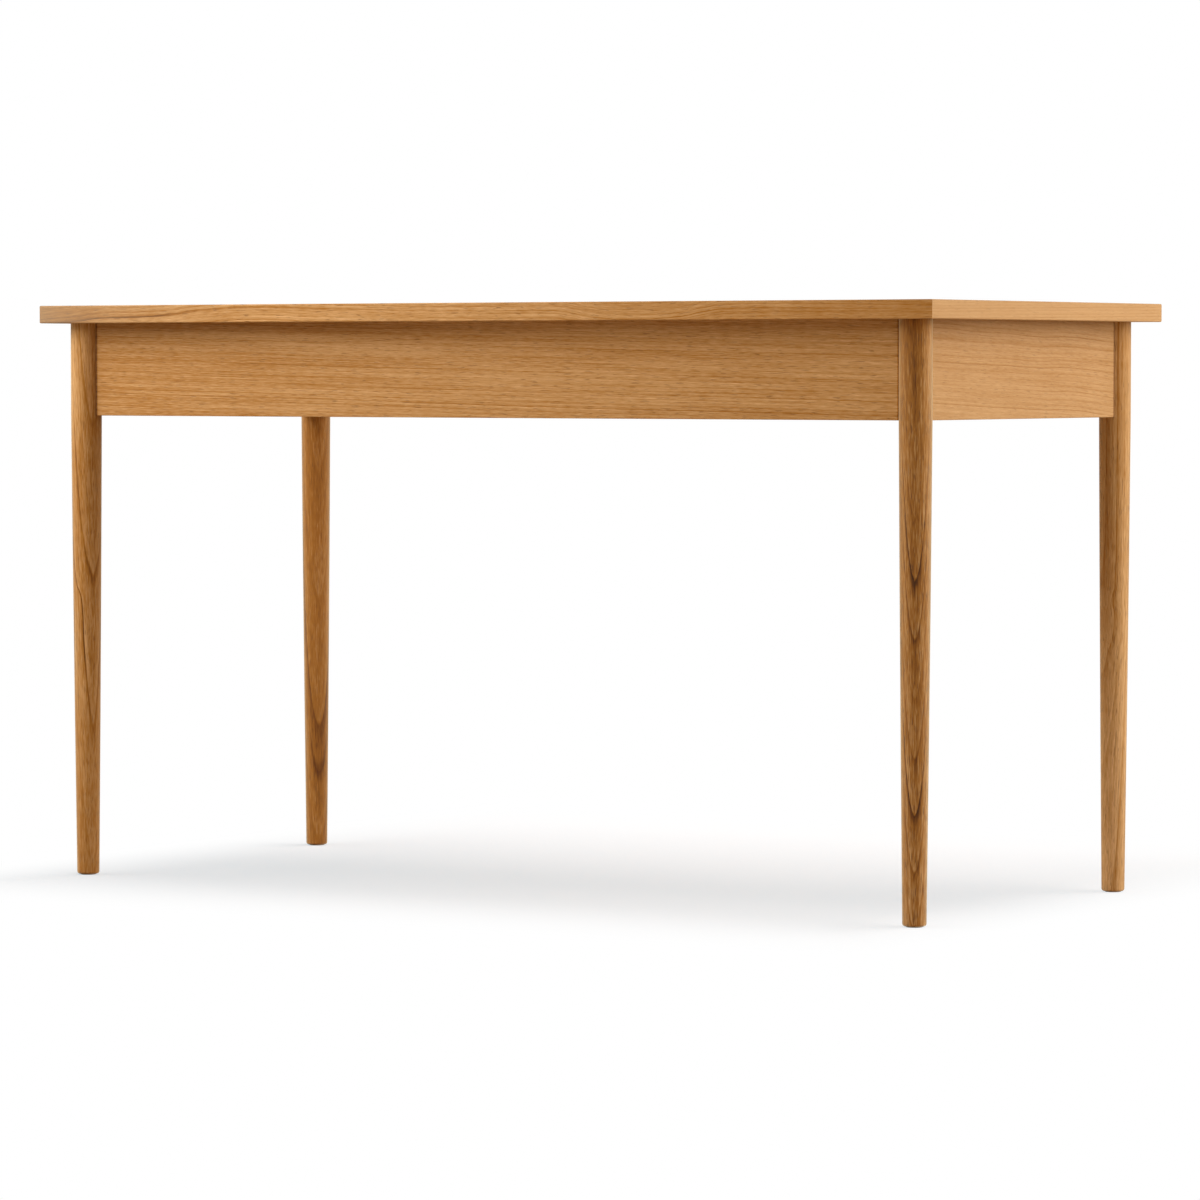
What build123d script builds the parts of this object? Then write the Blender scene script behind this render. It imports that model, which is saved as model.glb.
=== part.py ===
from build123d import *
from math import sqrt
import os

# A writing desk on four turned legs, with three drawers under the top.
# Millimetres. The origin is on the floor under the middle of the top, +Z is up,
# the sitter is on the -Y side and +X is to the sitter's right.

# Whole desk
DESK_HEIGHT = 750
TOP_LENGTH = 1340
TOP_DEPTH = 600
TOP_THICKNESS = 23
LIPPING_WIDTH = 20
TOP_EDGE_RADIUS = 1.5

# Turned legs
LEG_TOP_DIAMETER = 40.4
LEG_FOOT_DIAMETER = 29.2
LEG_BOW = 0.35
LEG_INSET_X = 45
LEG_INSET_Y = 41
FOOT_ROUNDING = 3
SEAT_DEPTH = 1
GLIDE_DIAMETER = 20
GLIDE_THICKNESS = 5
GLIDE_PROUD = 1

# Aprons and the front frame
APRON_HEIGHT = 121
APRON_THICKNESS = 18
LONG_FACE_OFFSET = 5
SIDE_FACE_OFFSET = 8.5
ARRIS = 0.8
FRAME_THICKNESS = 20
RAIL_HEIGHT = 18
RAIL_DEPTH = 50
END_STILE_WIDTH = 32
DIVIDER_WIDTH = 24
TENON_LENGTH = 10
TENON_THICKNESS = 8
TENON_SHOULDER = 4

# Runners below the drawer sides and kickers above them
RUNNER_THICKNESS = 14
RUNNER_REACH = 16
GUIDE_HEIGHT = 14
END_GUIDE_WIDTH = 16
KICKER_REACH = 30

# Dowels, glued with a thin film round them
DOWEL_DIAMETER = 8
DOWEL_LENGTH = 24
DOWEL_CHAMFER = 1
GLUE_FILM = 0.05
DOWEL_END_GAP = 0.5
BACK_DOWEL_HEIGHTS = (22, 61, 100)
SIDE_DOWEL_HEIGHTS = (31, 70, 91.5)
STILE_DOWEL_HEIGHT = 61
RUNNER_DOWEL_INSET = 10

# Corner blocks with the hanger bolts that hold the legs
BLOCK_STANDOFF = 25
BLOCK_THICKNESS = 18
BLOCK_LIFT = 36
BLOCK_HEIGHT = 65
BOLT_DIAMETER = 8
BOLT_LENGTH = 60
BOLT_PAST_AXIS = 4
BOLT_HEIGHTS = (48, 83)
BOLT_HOLE_SLACK = 0.5
WASHER_DIAMETER = 18
WASHER_THICKNESS = 1.5
NUT_ACROSS_FLATS = 13
NUT_HEIGHT = 6.5

# Countersunk screws
SCREW_DIAMETER = 4
SCREW_HEAD_DIAMETER = 8
SCREW_HEAD_HEIGHT = 2.2
SCREW_CROSS_LENGTH = 4.4
SCREW_CROSS_WIDTH = 0.9
SCREW_CROSS_DEPTH = 1.4
BLOCK_SCREW_LENGTH = 18
LONG_SCREW_HEIGHTS = (42, 75)
LONG_SCREW_SIDESTEP = 20
SIDE_SCREW_HEIGHTS = (52, 80)
SIDE_SCREW_SIDESTEP = 24
TOP_SCREW_LENGTH = 30
TOP_SCREW_INSET = 60

# Drawers
DRAWER_NAMES = ("left", "centre", "right")
DRAWER_LENGTH = 480
DRAWER_TRAVEL = 320
FRONT_GAP = 1.5
RUNNING_GAP = 0.3
SIDE_THICKNESS = 12
SIDE_HEIGHT = 81
DRAWER_BACK_THICKNESS = 12
DRAWER_BACK_INSET = 12
DRAWER_BACK_DROP = 7
HOUSING_DEPTH = 6
BOTTOM_THICKNESS = 5
BOTTOM_LIFT = 8
GROOVE_DEPTH = 6
GROOVE_SLACK = 0.1
BOTTOM_END_GAP = 0.5
TAIL_COUNT = 3
TAIL_LENGTH = 14
TAIL_TIP = 20
TAIL_BASE = 15.4

# Turned knobs and their screws
KNOB_BASE_RADIUS = 8.5
KNOB_COLLAR = 1.5
KNOB_NECK_RADIUS = 6.4
KNOB_NECK_REACH = 7
KNOB_RADIUS = 14
KNOB_RIM_START = 15.5
KNOB_RIM_END = 20
KNOB_RIM_ROUNDING = 1.8
KNOB_LENGTH = 23.5
KNOB_SCREW_RADIUS = 2
KNOB_SCREW_DEPTH = 16
KNOB_SCREW_HEAD_RADIUS = 4
KNOB_SCREW_HEAD_HEIGHT = 2.4
KNOB_SCREW_SLACK = 0.2

# Stops
STOP_WIDTH = 12
STOP_LENGTH = 20
STOP_DROP = 19
STOP_SIDE_GAP = 2.5
CLOSING_STOP_WIDTH = 24
CLOSING_STOP_LENGTH = 14
CLOSING_STOP_HEIGHT = 5
CLOSING_STOP_SPREAD = 200

# Levels and planes that follow from the sizes above
UNDERSIDE = DESK_HEIGHT - TOP_THICKNESS
APRON_FOOT = UNDERSIDE - APRON_HEIGHT
SILL = APRON_FOOT + RAIL_HEIGHT
HEAD = UNDERSIDE - RAIL_HEIGHT
CORE_X = TOP_LENGTH / 2 - LIPPING_WIDTH
CORE_Y = TOP_DEPTH / 2 - LIPPING_WIDTH
AXIS_X = TOP_LENGTH / 2 - LEG_INSET_X
AXIS_Y = TOP_DEPTH / 2 - LEG_INSET_Y
LEG_RADIUS = LEG_TOP_DIAMETER / 2
LONG_FACE = AXIS_Y + LONG_FACE_OFFSET
SIDE_FACE = AXIS_X + SIDE_FACE_OFFSET
BACK_INNER = LONG_FACE - APRON_THICKNESS
SIDE_INNER = SIDE_FACE - APRON_THICKNESS
FRONT_OUTER = -LONG_FACE
FRONT_INNER = FRONT_OUTER + FRAME_THICKNESS
RAIL_REAR = FRONT_OUTER + RAIL_DEPTH
LONG_END = AXIS_X - sqrt(LEG_RADIUS**2 - LONG_FACE_OFFSET**2) + SEAT_DEPTH
SIDE_END = AXIS_Y - sqrt(LEG_RADIUS**2 - SIDE_FACE_OFFSET**2) + SEAT_DEPTH

# The three openings in the front frame
OPENING_WIDTH = (2 * (LONG_END - END_STILE_WIDTH - DIVIDER_WIDTH)) / 3
DRAWER_PITCH = OPENING_WIDTH + DIVIDER_WIDTH
DIVIDER_X = DRAWER_PITCH / 2
END_EDGE = LONG_END - END_STILE_WIDTH

# Levels of a drawer
DRAWER_WIDTH = OPENING_WIDTH - 2 * FRONT_GAP
FRONT_LOW = SILL + FRONT_GAP
FRONT_HIGH = HEAD - FRONT_GAP
SIDE_LOW = SILL + RUNNING_GAP
SIDE_HIGH = SIDE_LOW + SIDE_HEIGHT
SIDE_REAR = FRONT_OUTER + DRAWER_LENGTH
DRAWER_BACK_REAR = SIDE_REAR - DRAWER_BACK_INSET
DRAWER_BACK_FRONT = DRAWER_BACK_REAR - DRAWER_BACK_THICKNESS
GROOVE_LOW = SIDE_LOW + BOTTOM_LIFT
GROOVE_HIGH = GROOVE_LOW + BOTTOM_THICKNESS + 2 * GROOVE_SLACK
KNOB_LEVEL = (FRONT_LOW + FRONT_HIGH) / 2

# Anchors that put a shape's near end, not its middle, on its place
FROM_END = (Align.CENTER, Align.CENTER, Align.MIN)

os.makedirs("parts", exist_ok=True)


def save(piece, name):
    """Name a finished piece and write it to a file of its own."""
    piece.part.label = name
    export_step(piece.part, f"parts/{name}.step")


def slab(corner, opposite, mode=Mode.ADD):
    """Add or cut a square-cornered block between two opposite corners."""
    size = [abs(b - a) for a, b in zip(corner, opposite)]
    middle = [(a + b) / 2 for a, b in zip(corner, opposite)]
    with Locations(tuple(middle)):
        Box(*size, mode=mode)


def bore_dowel_holes(places, turn):
    """Cut a dowel hole centred on each place, turned to lie along X or Y."""
    with Locations(*places):
        Cylinder(DOWEL_DIAMETER / 2, DOWEL_LENGTH + 2 * DOWEL_END_GAP, rotation=turn, mode=Mode.SUBTRACT)


def bore_screw_holes(planes, length):
    """Cut a countersunk hole down each plane, a film wider than its screw."""
    with Locations(*planes):
        Cylinder(
            SCREW_DIAMETER / 2 + GLUE_FILM, length + DOWEL_END_GAP, align=FROM_END, mode=Mode.SUBTRACT
        )
        Cone(
            SCREW_HEAD_DIAMETER / 2 + GLUE_FILM,
            SCREW_DIAMETER / 2 + GLUE_FILM,
            SCREW_HEAD_HEIGHT,
            align=FROM_END,
            mode=Mode.SUBTRACT,
        )


def cut_cross_recess():
    """Cut the cross for a screwdriver into a screw's head."""
    for arms in ((SCREW_CROSS_LENGTH, SCREW_CROSS_WIDTH), (SCREW_CROSS_WIDTH, SCREW_CROSS_LENGTH)):
        Box(*arms, SCREW_CROSS_DEPTH, align=FROM_END, mode=Mode.SUBTRACT)


def add_screws(planes, length):
    """Add a countersunk screw with a cross recess down each plane."""
    with Locations(*planes):
        Cylinder(SCREW_DIAMETER / 2, length, align=FROM_END)
        Cone(SCREW_HEAD_DIAMETER / 2, SCREW_DIAMETER / 2, SCREW_HEAD_HEIGHT, align=FROM_END)
        cut_cross_recess()


ALONG_X = (0, 90, 0)
ALONG_Y = (90, 0, 0)
CORNERS = {
    "front_left": (-1, -1),
    "front_right": (1, -1),
    "back_left": (-1, 1),
    "back_right": (1, 1),
}


def long_joint_dowels(side_x, side_y):
    """Dowel centres where the back apron or the front frame meets a leg."""
    if side_y > 0:
        heights = BACK_DOWEL_HEIGHTS
        thickness = APRON_THICKNESS
    else:
        heights = (RAIL_HEIGHT / 2, STILE_DOWEL_HEIGHT, APRON_HEIGHT - RAIL_HEIGHT / 2)
        thickness = FRAME_THICKNESS
    middle = side_y * (LONG_FACE - thickness / 2)
    return [(side_x * LONG_END, middle, APRON_FOOT + height) for height in heights]


def side_joint_dowels(side_x, side_y):
    """Dowel centres where a side apron meets a leg."""
    middle = side_x * (SIDE_FACE - APRON_THICKNESS / 2)
    return [(middle, side_y * SIDE_END, APRON_FOOT + height) for height in SIDE_DOWEL_HEIGHTS]


def corner_plane(side_x, side_y, inward, sideways, height):
    """A plane at a corner block, facing out towards the leg.

    inward is the distance from the leg's axis along the corner's diagonal, and sideways the
    distance from that diagonal towards the long rail."""
    step = sqrt(0.5)
    x = side_x * (AXIS_X - step * (inward + sideways))
    y = side_y * (AXIS_Y - step * (inward - sideways))
    return Plane(
        origin=(x, y, APRON_FOOT + height),
        x_dir=(0, 0, 1),
        z_dir=(side_x * step, side_y * step, 0),
    )


BLOCK_FAR = BLOCK_STANDOFF + BLOCK_THICKNESS
BOLT_REACH = BOLT_LENGTH - BOLT_PAST_AXIS


def bolt_planes(side_x, side_y, inward):
    """Planes across the two hanger bolts of a corner, at a distance from the leg's axis."""
    return [corner_plane(side_x, side_y, inward, 0, height) for height in BOLT_HEIGHTS]


def bore_bolt_holes(side_x, side_y, slack):
    """Cut the holes of a corner's two hanger bolts, wider than the bolts by a slack."""
    with Locations(*bolt_planes(side_x, side_y, BOLT_REACH)):
        Cylinder(
            BOLT_DIAMETER / 2 + slack, BOLT_LENGTH + DOWEL_END_GAP, align=FROM_END, mode=Mode.SUBTRACT
        )


def block_screw_planes(side_x, side_y):
    """Planes at the heads of the four screws of a corner block."""
    places = [(LONG_SCREW_SIDESTEP, height) for height in LONG_SCREW_HEIGHTS]
    places += [(-SIDE_SCREW_SIDESTEP, height) for height in SIDE_SCREW_HEIGHTS]
    return [corner_plane(side_x, side_y, BLOCK_FAR, sideways, height) for sideways, height in places]


def beam_spans(reach):
    """X spans of the four beams that run from front to back beside the drawers."""
    half = DIVIDER_WIDTH / 2 + reach
    return {
        "left_end": (-END_EDGE - END_GUIDE_WIDTH, -END_EDGE + reach),
        "left_centre": (-DIVIDER_X - half, -DIVIDER_X + half),
        "right_centre": (DIVIDER_X - half, DIVIDER_X + half),
        "right_end": (END_EDGE - reach, END_EDGE + END_GUIDE_WIDTH),
    }


RUNNER_SPANS = beam_spans(RUNNER_REACH)
KICKER_SPANS = beam_spans(KICKER_REACH)
RUNNER_DOWEL_LEVEL = SILL - RUNNER_THICKNESS / 2
KICKER_DOWEL_LEVEL = UNDERSIDE - RAIL_HEIGHT / 2


def beam_dowels(span, level, joint_y):
    """Dowel centres at one end of a runner or kicker."""
    low, high = span
    return [(x, joint_y, level) for x in (low + RUNNER_DOWEL_INSET, high - RUNNER_DOWEL_INSET)]


def all_beam_dowels(spans, level, joint_y):
    """Dowel centres of all four runners or kickers along one joint."""
    return [place for span in spans.values() for place in beam_dowels(span, level, joint_y)]


def top_screw_planes(span):
    """Planes at the heads of the screws that go up through a kicker into the top."""
    middle = sum(span) / 2
    rows = (RAIL_REAR + TOP_SCREW_INSET, (RAIL_REAR + BACK_INNER) / 2, BACK_INNER - TOP_SCREW_INSET)
    return [Plane(origin=(middle, y, HEAD), z_dir=(0, 0, 1)) for y in rows]


ALL_TOP_SCREWS = [plane for span in KICKER_SPANS.values() for plane in top_screw_planes(span)]


# The top is a veneered panel inside four solid lippings that meet in mitres
with BuildPart() as top_panel:
    slab((-CORE_X, -CORE_Y, UNDERSIDE), (CORE_X, CORE_Y, DESK_HEIGHT))
    bore_screw_holes(ALL_TOP_SCREWS, TOP_SCREW_LENGTH)
save(top_panel, "top_panel")


def build_lipping(name, outer_start, outer_end, inner_end, inner_start, outward, place):
    """One mitred lipping, its two outer edges rounded."""
    with BuildPart() as lipping:
        with BuildSketch(Plane.XY.offset(UNDERSIDE)):
            Polygon(outer_start, outer_end, inner_end, inner_start, align=None)
        extrude(amount=TOP_THICKNESS)
        outer_face = lipping.faces().filter_by(outward).sort_by(outward)[place]
        fillet(outer_face.edges().sort_by(SortBy.LENGTH)[-2:], TOP_EDGE_RADIUS)
    save(lipping, name)


END_X = TOP_LENGTH / 2
END_Y = TOP_DEPTH / 2
for name, sign, place in (("top_lipping_front", -1, 0), ("top_lipping_back", 1, -1)):
    build_lipping(
        name,
        (-END_X, sign * END_Y),
        (END_X, sign * END_Y),
        (CORE_X, sign * CORE_Y),
        (-CORE_X, sign * CORE_Y),
        Axis.Y,
        place,
    )
for name, sign, place in (("top_lipping_left", -1, 0), ("top_lipping_right", 1, -1)):
    build_lipping(
        name,
        (sign * END_X, -END_Y),
        (sign * END_X, END_Y),
        (sign * CORE_X, CORE_Y),
        (sign * CORE_X, -CORE_Y),
        Axis.X,
        place,
    )


def build_leg(name, side_x, side_y):
    """One leg: straight beside the aprons, then a slightly bowed taper to the foot."""
    axis_x = side_x * AXIS_X
    axis_y = side_y * AXIS_Y
    foot_radius = LEG_FOOT_DIAMETER / 2
    half_way = ((LEG_RADIUS + foot_radius) / 2 + LEG_BOW, (GLIDE_PROUD + APRON_FOOT) / 2)
    beyond = 1.5 * LEG_RADIUS
    with BuildPart() as leg:
        with BuildSketch(Plane(origin=(axis_x, axis_y, 0), x_dir=(1, 0, 0), z_dir=(0, -1, 0))) as profile:
            with BuildLine():
                Line((0, GLIDE_PROUD), (foot_radius, GLIDE_PROUD))
                ThreePointArc((foot_radius, GLIDE_PROUD), half_way, (LEG_RADIUS, APRON_FOOT))
                Line((LEG_RADIUS, APRON_FOOT), (LEG_RADIUS, UNDERSIDE))
                Line((LEG_RADIUS, UNDERSIDE), (0, UNDERSIDE))
                Line((0, UNDERSIDE), (0, GLIDE_PROUD))
            make_face()
            foot_corner = profile.vertices().group_by(Axis.Y)[0].sort_by(Axis.X)[-1]
            fillet(foot_corner, FOOT_ROUNDING)
        revolve(axis=Axis((axis_x, axis_y, 0), (0, 0, 1)))
        # A flat seat for the end of each apron
        slab(
            (side_x * LONG_END, side_y * LONG_FACE, APRON_FOOT),
            (axis_x - side_x * beyond, axis_y - side_y * beyond, UNDERSIDE),
            Mode.SUBTRACT,
        )
        slab(
            (side_x * SIDE_FACE, side_y * SIDE_END, APRON_FOOT),
            (axis_x - side_x * beyond, axis_y - side_y * beyond, UNDERSIDE),
            Mode.SUBTRACT,
        )
        bore_dowel_holes(long_joint_dowels(side_x, side_y), ALONG_X)
        bore_dowel_holes(side_joint_dowels(side_x, side_y), ALONG_Y)
        bore_bolt_holes(side_x, side_y, GLUE_FILM)
        with Locations((axis_x, axis_y, 0)):
            Cylinder(GLIDE_DIAMETER / 2, GLIDE_THICKNESS, align=FROM_END, mode=Mode.SUBTRACT)
    save(leg, name)


for corner, (side_x, side_y) in CORNERS.items():
    build_leg(f"leg_{corner}", side_x, side_y)

# The back apron, between the back legs
with BuildPart() as back_apron:
    slab((-LONG_END, BACK_INNER, APRON_FOOT), (LONG_END, LONG_FACE, UNDERSIDE))
    outer_face = back_apron.faces().sort_by(Axis.Y)[-1]
    fillet(outer_face.edges().sort_by(Axis.Z)[:-1], ARRIS)
    for side_x in (-1, 1):
        bore_dowel_holes(long_joint_dowels(side_x, 1), ALONG_X)
        bore_screw_holes(block_screw_planes(side_x, 1), BLOCK_SCREW_LENGTH)
        bore_bolt_holes(side_x, 1, BOLT_HOLE_SLACK)
    bore_dowel_holes(all_beam_dowels(RUNNER_SPANS, RUNNER_DOWEL_LEVEL, BACK_INNER), ALONG_Y)
    bore_dowel_holes(all_beam_dowels(KICKER_SPANS, KICKER_DOWEL_LEVEL, BACK_INNER), ALONG_Y)
save(back_apron, "back_apron")


def build_side_apron(name, side_x):
    """The apron between the two legs at one end of the desk."""
    with BuildPart() as side_apron:
        slab((side_x * SIDE_INNER, -SIDE_END, APRON_FOOT), (side_x * SIDE_FACE, SIDE_END, UNDERSIDE))
        outer_face = side_apron.faces().sort_by(Axis((0, 0, 0), (side_x, 0, 0)))[-1]
        fillet(outer_face.edges().sort_by(Axis.Z)[:-1], ARRIS)
        for side_y in (-1, 1):
            bore_dowel_holes(side_joint_dowels(side_x, side_y), ALONG_Y)
            bore_screw_holes(block_screw_planes(side_x, side_y), BLOCK_SCREW_LENGTH)
    save(side_apron, name)


build_side_apron("left_apron", -1)
build_side_apron("right_apron", 1)


# The front frame: two rails, with stiles and dividers tenoned between them
def tenon_slab(span, low, high, mode=Mode.ADD):
    """The tenon of a stile or divider, or the mortise for it, between two levels."""
    middle = (FRONT_OUTER + FRONT_INNER) / 2
    start, end = span
    slab(
        (start + TENON_SHOULDER, middle - TENON_THICKNESS / 2, low),
        (end - TENON_SHOULDER, middle + TENON_THICKNESS / 2, high),
        mode,
    )


UPRIGHT_SPANS = {
    "left_end_stile": (-LONG_END, -END_EDGE),
    "left_divider": (-DIVIDER_X - DIVIDER_WIDTH / 2, -DIVIDER_X + DIVIDER_WIDTH / 2),
    "right_divider": (DIVIDER_X - DIVIDER_WIDTH / 2, DIVIDER_X + DIVIDER_WIDTH / 2),
    "right_end_stile": (END_EDGE, LONG_END),
}
MORTISE_LEVELS = {
    "front_bottom_rail": (SILL - TENON_LENGTH, SILL),
    "front_top_rail": (HEAD, HEAD + TENON_LENGTH),
}


def build_rail(name, low, beam_places):
    """A front rail, laid flat, with mortises for the uprights."""
    mortise_low, mortise_high = MORTISE_LEVELS[name]
    with BuildPart() as rail:
        slab((-LONG_END, FRONT_OUTER, low), (LONG_END, RAIL_REAR, low + RAIL_HEIGHT))
        outer_face = rail.faces().sort_by(Axis.Y)[0]
        fillet(outer_face.edges().sort_by(Axis.Z)[:-1], ARRIS)
        for span in UPRIGHT_SPANS.values():
            tenon_slab(span, mortise_low, mortise_high, Mode.SUBTRACT)
        for side_x in (-1, 1):
            bore_dowel_holes(long_joint_dowels(side_x, -1), ALONG_X)
        bore_dowel_holes(beam_places, ALONG_Y)
    save(rail, name)


runner_joints = all_beam_dowels(RUNNER_SPANS, RUNNER_DOWEL_LEVEL, RAIL_REAR)
kicker_joints = all_beam_dowels(KICKER_SPANS, KICKER_DOWEL_LEVEL, RAIL_REAR)
build_rail("front_bottom_rail", APRON_FOOT, runner_joints)
build_rail("front_top_rail", HEAD, kicker_joints)


def build_upright(name, span):
    """An end stile or a divider, with a stub tenon at each end."""
    start, end = span
    with BuildPart() as upright:
        slab((start, FRONT_OUTER, SILL), (end, FRONT_INNER, HEAD))
        for level in MORTISE_LEVELS.values():
            tenon_slab(span, *level)
        if name.endswith("end_stile"):
            side_x = 1 if start > 0 else -1
            bore_dowel_holes(long_joint_dowels(side_x, -1), ALONG_X)
            bore_screw_holes(block_screw_planes(side_x, -1), BLOCK_SCREW_LENGTH)
            bore_bolt_holes(side_x, -1, BOLT_HOLE_SLACK)
    save(upright, name)


for name, span in UPRIGHT_SPANS.items():
    build_upright(name, span)


def build_runner(name, span):
    """A runner that carries the drawer sides, with a guide that stands up beside them."""
    low, high = span
    guide_low = low if name == "left_end" else low + RUNNER_REACH
    guide_high = high if name == "right_end" else high - RUNNER_REACH
    with BuildPart() as runner:
        slab((low, RAIL_REAR, SILL - RUNNER_THICKNESS), (high, BACK_INNER, SILL))
        slab((guide_low, RAIL_REAR, SILL), (guide_high, BACK_INNER, SILL + GUIDE_HEIGHT))
        for joint_y in (RAIL_REAR, BACK_INNER):
            bore_dowel_holes(beam_dowels(span, RUNNER_DOWEL_LEVEL, joint_y), ALONG_Y)
    save(runner, f"{name}_runner")


def build_kicker(name, span):
    """A kicker that keeps an open drawer from tipping and takes the screws of the top."""
    low, high = span
    with BuildPart() as kicker:
        slab((low, RAIL_REAR, HEAD), (high, BACK_INNER, UNDERSIDE))
        for joint_y in (RAIL_REAR, BACK_INNER):
            bore_dowel_holes(beam_dowels(span, KICKER_DOWEL_LEVEL, joint_y), ALONG_Y)
        bore_screw_holes(top_screw_planes(span), TOP_SCREW_LENGTH)
    save(kicker, f"{name}_kicker")


for name, span in RUNNER_SPANS.items():
    build_runner(name, span)
for name, span in KICKER_SPANS.items():
    build_kicker(name, span)


def build_corner_block(name, side_x, side_y):
    """A block across a corner, glued and screwed to the long rail and the side apron."""
    long_inner = BACK_INNER if side_y > 0 else -FRONT_INNER
    near_sum = AXIS_X + AXIS_Y - BLOCK_STANDOFF * sqrt(2)
    far_sum = AXIS_X + AXIS_Y - BLOCK_FAR * sqrt(2)
    outline = [
        (near_sum - long_inner, long_inner),
        (far_sum - long_inner, long_inner),
        (SIDE_INNER, far_sum - SIDE_INNER),
        (SIDE_INNER, near_sum - SIDE_INNER),
    ]
    with BuildPart() as block:
        with BuildSketch(Plane.XY.offset(APRON_FOOT + BLOCK_LIFT)):
            Polygon(*[(side_x * x, side_y * y) for x, y in outline], align=None)
        extrude(amount=BLOCK_HEIGHT)
        bore_bolt_holes(side_x, side_y, BOLT_HOLE_SLACK)
        bore_screw_holes(block_screw_planes(side_x, side_y), BLOCK_SCREW_LENGTH)
    save(block, name)


for corner, (side_x, side_y) in CORNERS.items():
    build_corner_block(f"corner_block_{corner}", side_x, side_y)

# Groups of small pieces that are alike
X_DOWELS = [place for signs in CORNERS.values() for place in long_joint_dowels(*signs)]
Y_DOWELS = [place for signs in CORNERS.values() for place in side_joint_dowels(*signs)]
for joint_y in (RAIL_REAR, BACK_INNER):
    Y_DOWELS += all_beam_dowels(RUNNER_SPANS, RUNNER_DOWEL_LEVEL, joint_y)
    Y_DOWELS += all_beam_dowels(KICKER_SPANS, KICKER_DOWEL_LEVEL, joint_y)
with BuildPart() as joint_dowels:
    for places, turn in ((X_DOWELS, ALONG_X), (Y_DOWELS, ALONG_Y)):
        with Locations(*places):
            Cylinder(DOWEL_DIAMETER / 2 - GLUE_FILM, DOWEL_LENGTH, rotation=turn)
    chamfer(joint_dowels.edges().filter_by(GeomType.CIRCLE), DOWEL_CHAMFER)
save(joint_dowels, "joint_dowels")


def all_bolt_planes(inward):
    """Planes across all the hanger bolts, at a distance from the legs' axes."""
    return [plane for signs in CORNERS.values() for plane in bolt_planes(*signs, inward)]


WASHER_FACE = BLOCK_FAR + WASHER_THICKNESS
NUT_FACE = WASHER_FACE + NUT_HEIGHT

with BuildPart() as hanger_bolts:
    with Locations(*all_bolt_planes(BOLT_REACH)):
        Cylinder(BOLT_DIAMETER / 2, BOLT_LENGTH, align=FROM_END)
save(hanger_bolts, "hanger_bolts")

with BuildPart() as bolt_washers:
    with Locations(*all_bolt_planes(WASHER_FACE)):
        Cylinder(WASHER_DIAMETER / 2, WASHER_THICKNESS, align=FROM_END)
        Cylinder(
            BOLT_DIAMETER / 2 + BOLT_HOLE_SLACK, WASHER_THICKNESS, align=FROM_END, mode=Mode.SUBTRACT
        )
save(bolt_washers, "bolt_washers")

with BuildPart() as bolt_nuts:
    for plane in all_bolt_planes(NUT_FACE):
        with BuildSketch(plane):
            RegularPolygon(NUT_ACROSS_FLATS / 2, side_count=6, major_radius=False)
            Circle(BOLT_DIAMETER / 2 + GLUE_FILM, mode=Mode.SUBTRACT)
        extrude(amount=NUT_HEIGHT)
save(bolt_nuts, "bolt_nuts")

with BuildPart() as block_screws:
    for signs in CORNERS.values():
        add_screws(block_screw_planes(*signs), BLOCK_SCREW_LENGTH)
save(block_screws, "block_screws")

with BuildPart() as top_screws:
    add_screws(ALL_TOP_SCREWS, TOP_SCREW_LENGTH)
save(top_screws, "top_screws")

# Stops: one pair under the kickers ends each drawer's travel, one pair on the sill meets its front
DRAWER_CENTRES = [DRAWER_PITCH * (index - 1) for index in range(len(DRAWER_NAMES))]
STOP_REAR = DRAWER_BACK_FRONT - DRAWER_TRAVEL - RUNNING_GAP
STOP_OUTER = DRAWER_WIDTH / 2 - SIDE_THICKNESS - STOP_SIDE_GAP
with BuildPart() as opening_stops:
    for centre in DRAWER_CENTRES:
        for side_x in (-1, 1):
            slab(
                (centre + side_x * STOP_OUTER, STOP_REAR, HEAD),
                (centre + side_x * (STOP_OUTER - STOP_WIDTH), STOP_REAR - STOP_LENGTH, HEAD - STOP_DROP),
            )
save(opening_stops, "opening_stops")

with BuildPart() as closing_stops:
    for centre in DRAWER_CENTRES:
        for side_x in (-1, 1):
            middle = centre + side_x * CLOSING_STOP_SPREAD / 2
            slab(
                (middle - CLOSING_STOP_WIDTH / 2, FRONT_INNER + RUNNING_GAP, SILL),
                (
                    middle + CLOSING_STOP_WIDTH / 2,
                    FRONT_INNER + RUNNING_GAP + CLOSING_STOP_LENGTH,
                    SILL + CLOSING_STOP_HEIGHT,
                ),
            )
save(closing_stops, "closing_stops")

with BuildPart() as foot_glides:
    with Locations(*[(side_x * AXIS_X, side_y * AXIS_Y, 0) for side_x, side_y in CORNERS.values()]):
        Cylinder(GLIDE_DIAMETER / 2, GLIDE_THICKNESS, align=FROM_END)
save(foot_glides, "foot_glides")


# Drawers: a front and two sides joined by half-blind dovetails, a housed back, a grooved-in bottom
def dovetails(x_low):
    """Outlines of the tails of one drawer side, on the plane of its lower X face."""
    tail_tip_y = FRONT_INNER - TAIL_LENGTH
    with BuildSketch(Plane.YZ.offset(x_low)) as tails:
        for index in range(TAIL_COUNT):
            middle = SIDE_LOW + SIDE_HEIGHT * (index + 0.5) / TAIL_COUNT
            Polygon(
                (FRONT_INNER, middle - TAIL_BASE / 2),
                (FRONT_INNER, middle + TAIL_BASE / 2),
                (tail_tip_y, middle + TAIL_TIP / 2),
                (tail_tip_y, middle - TAIL_TIP / 2),
                align=None,
            )
    return tails.sketch


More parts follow.
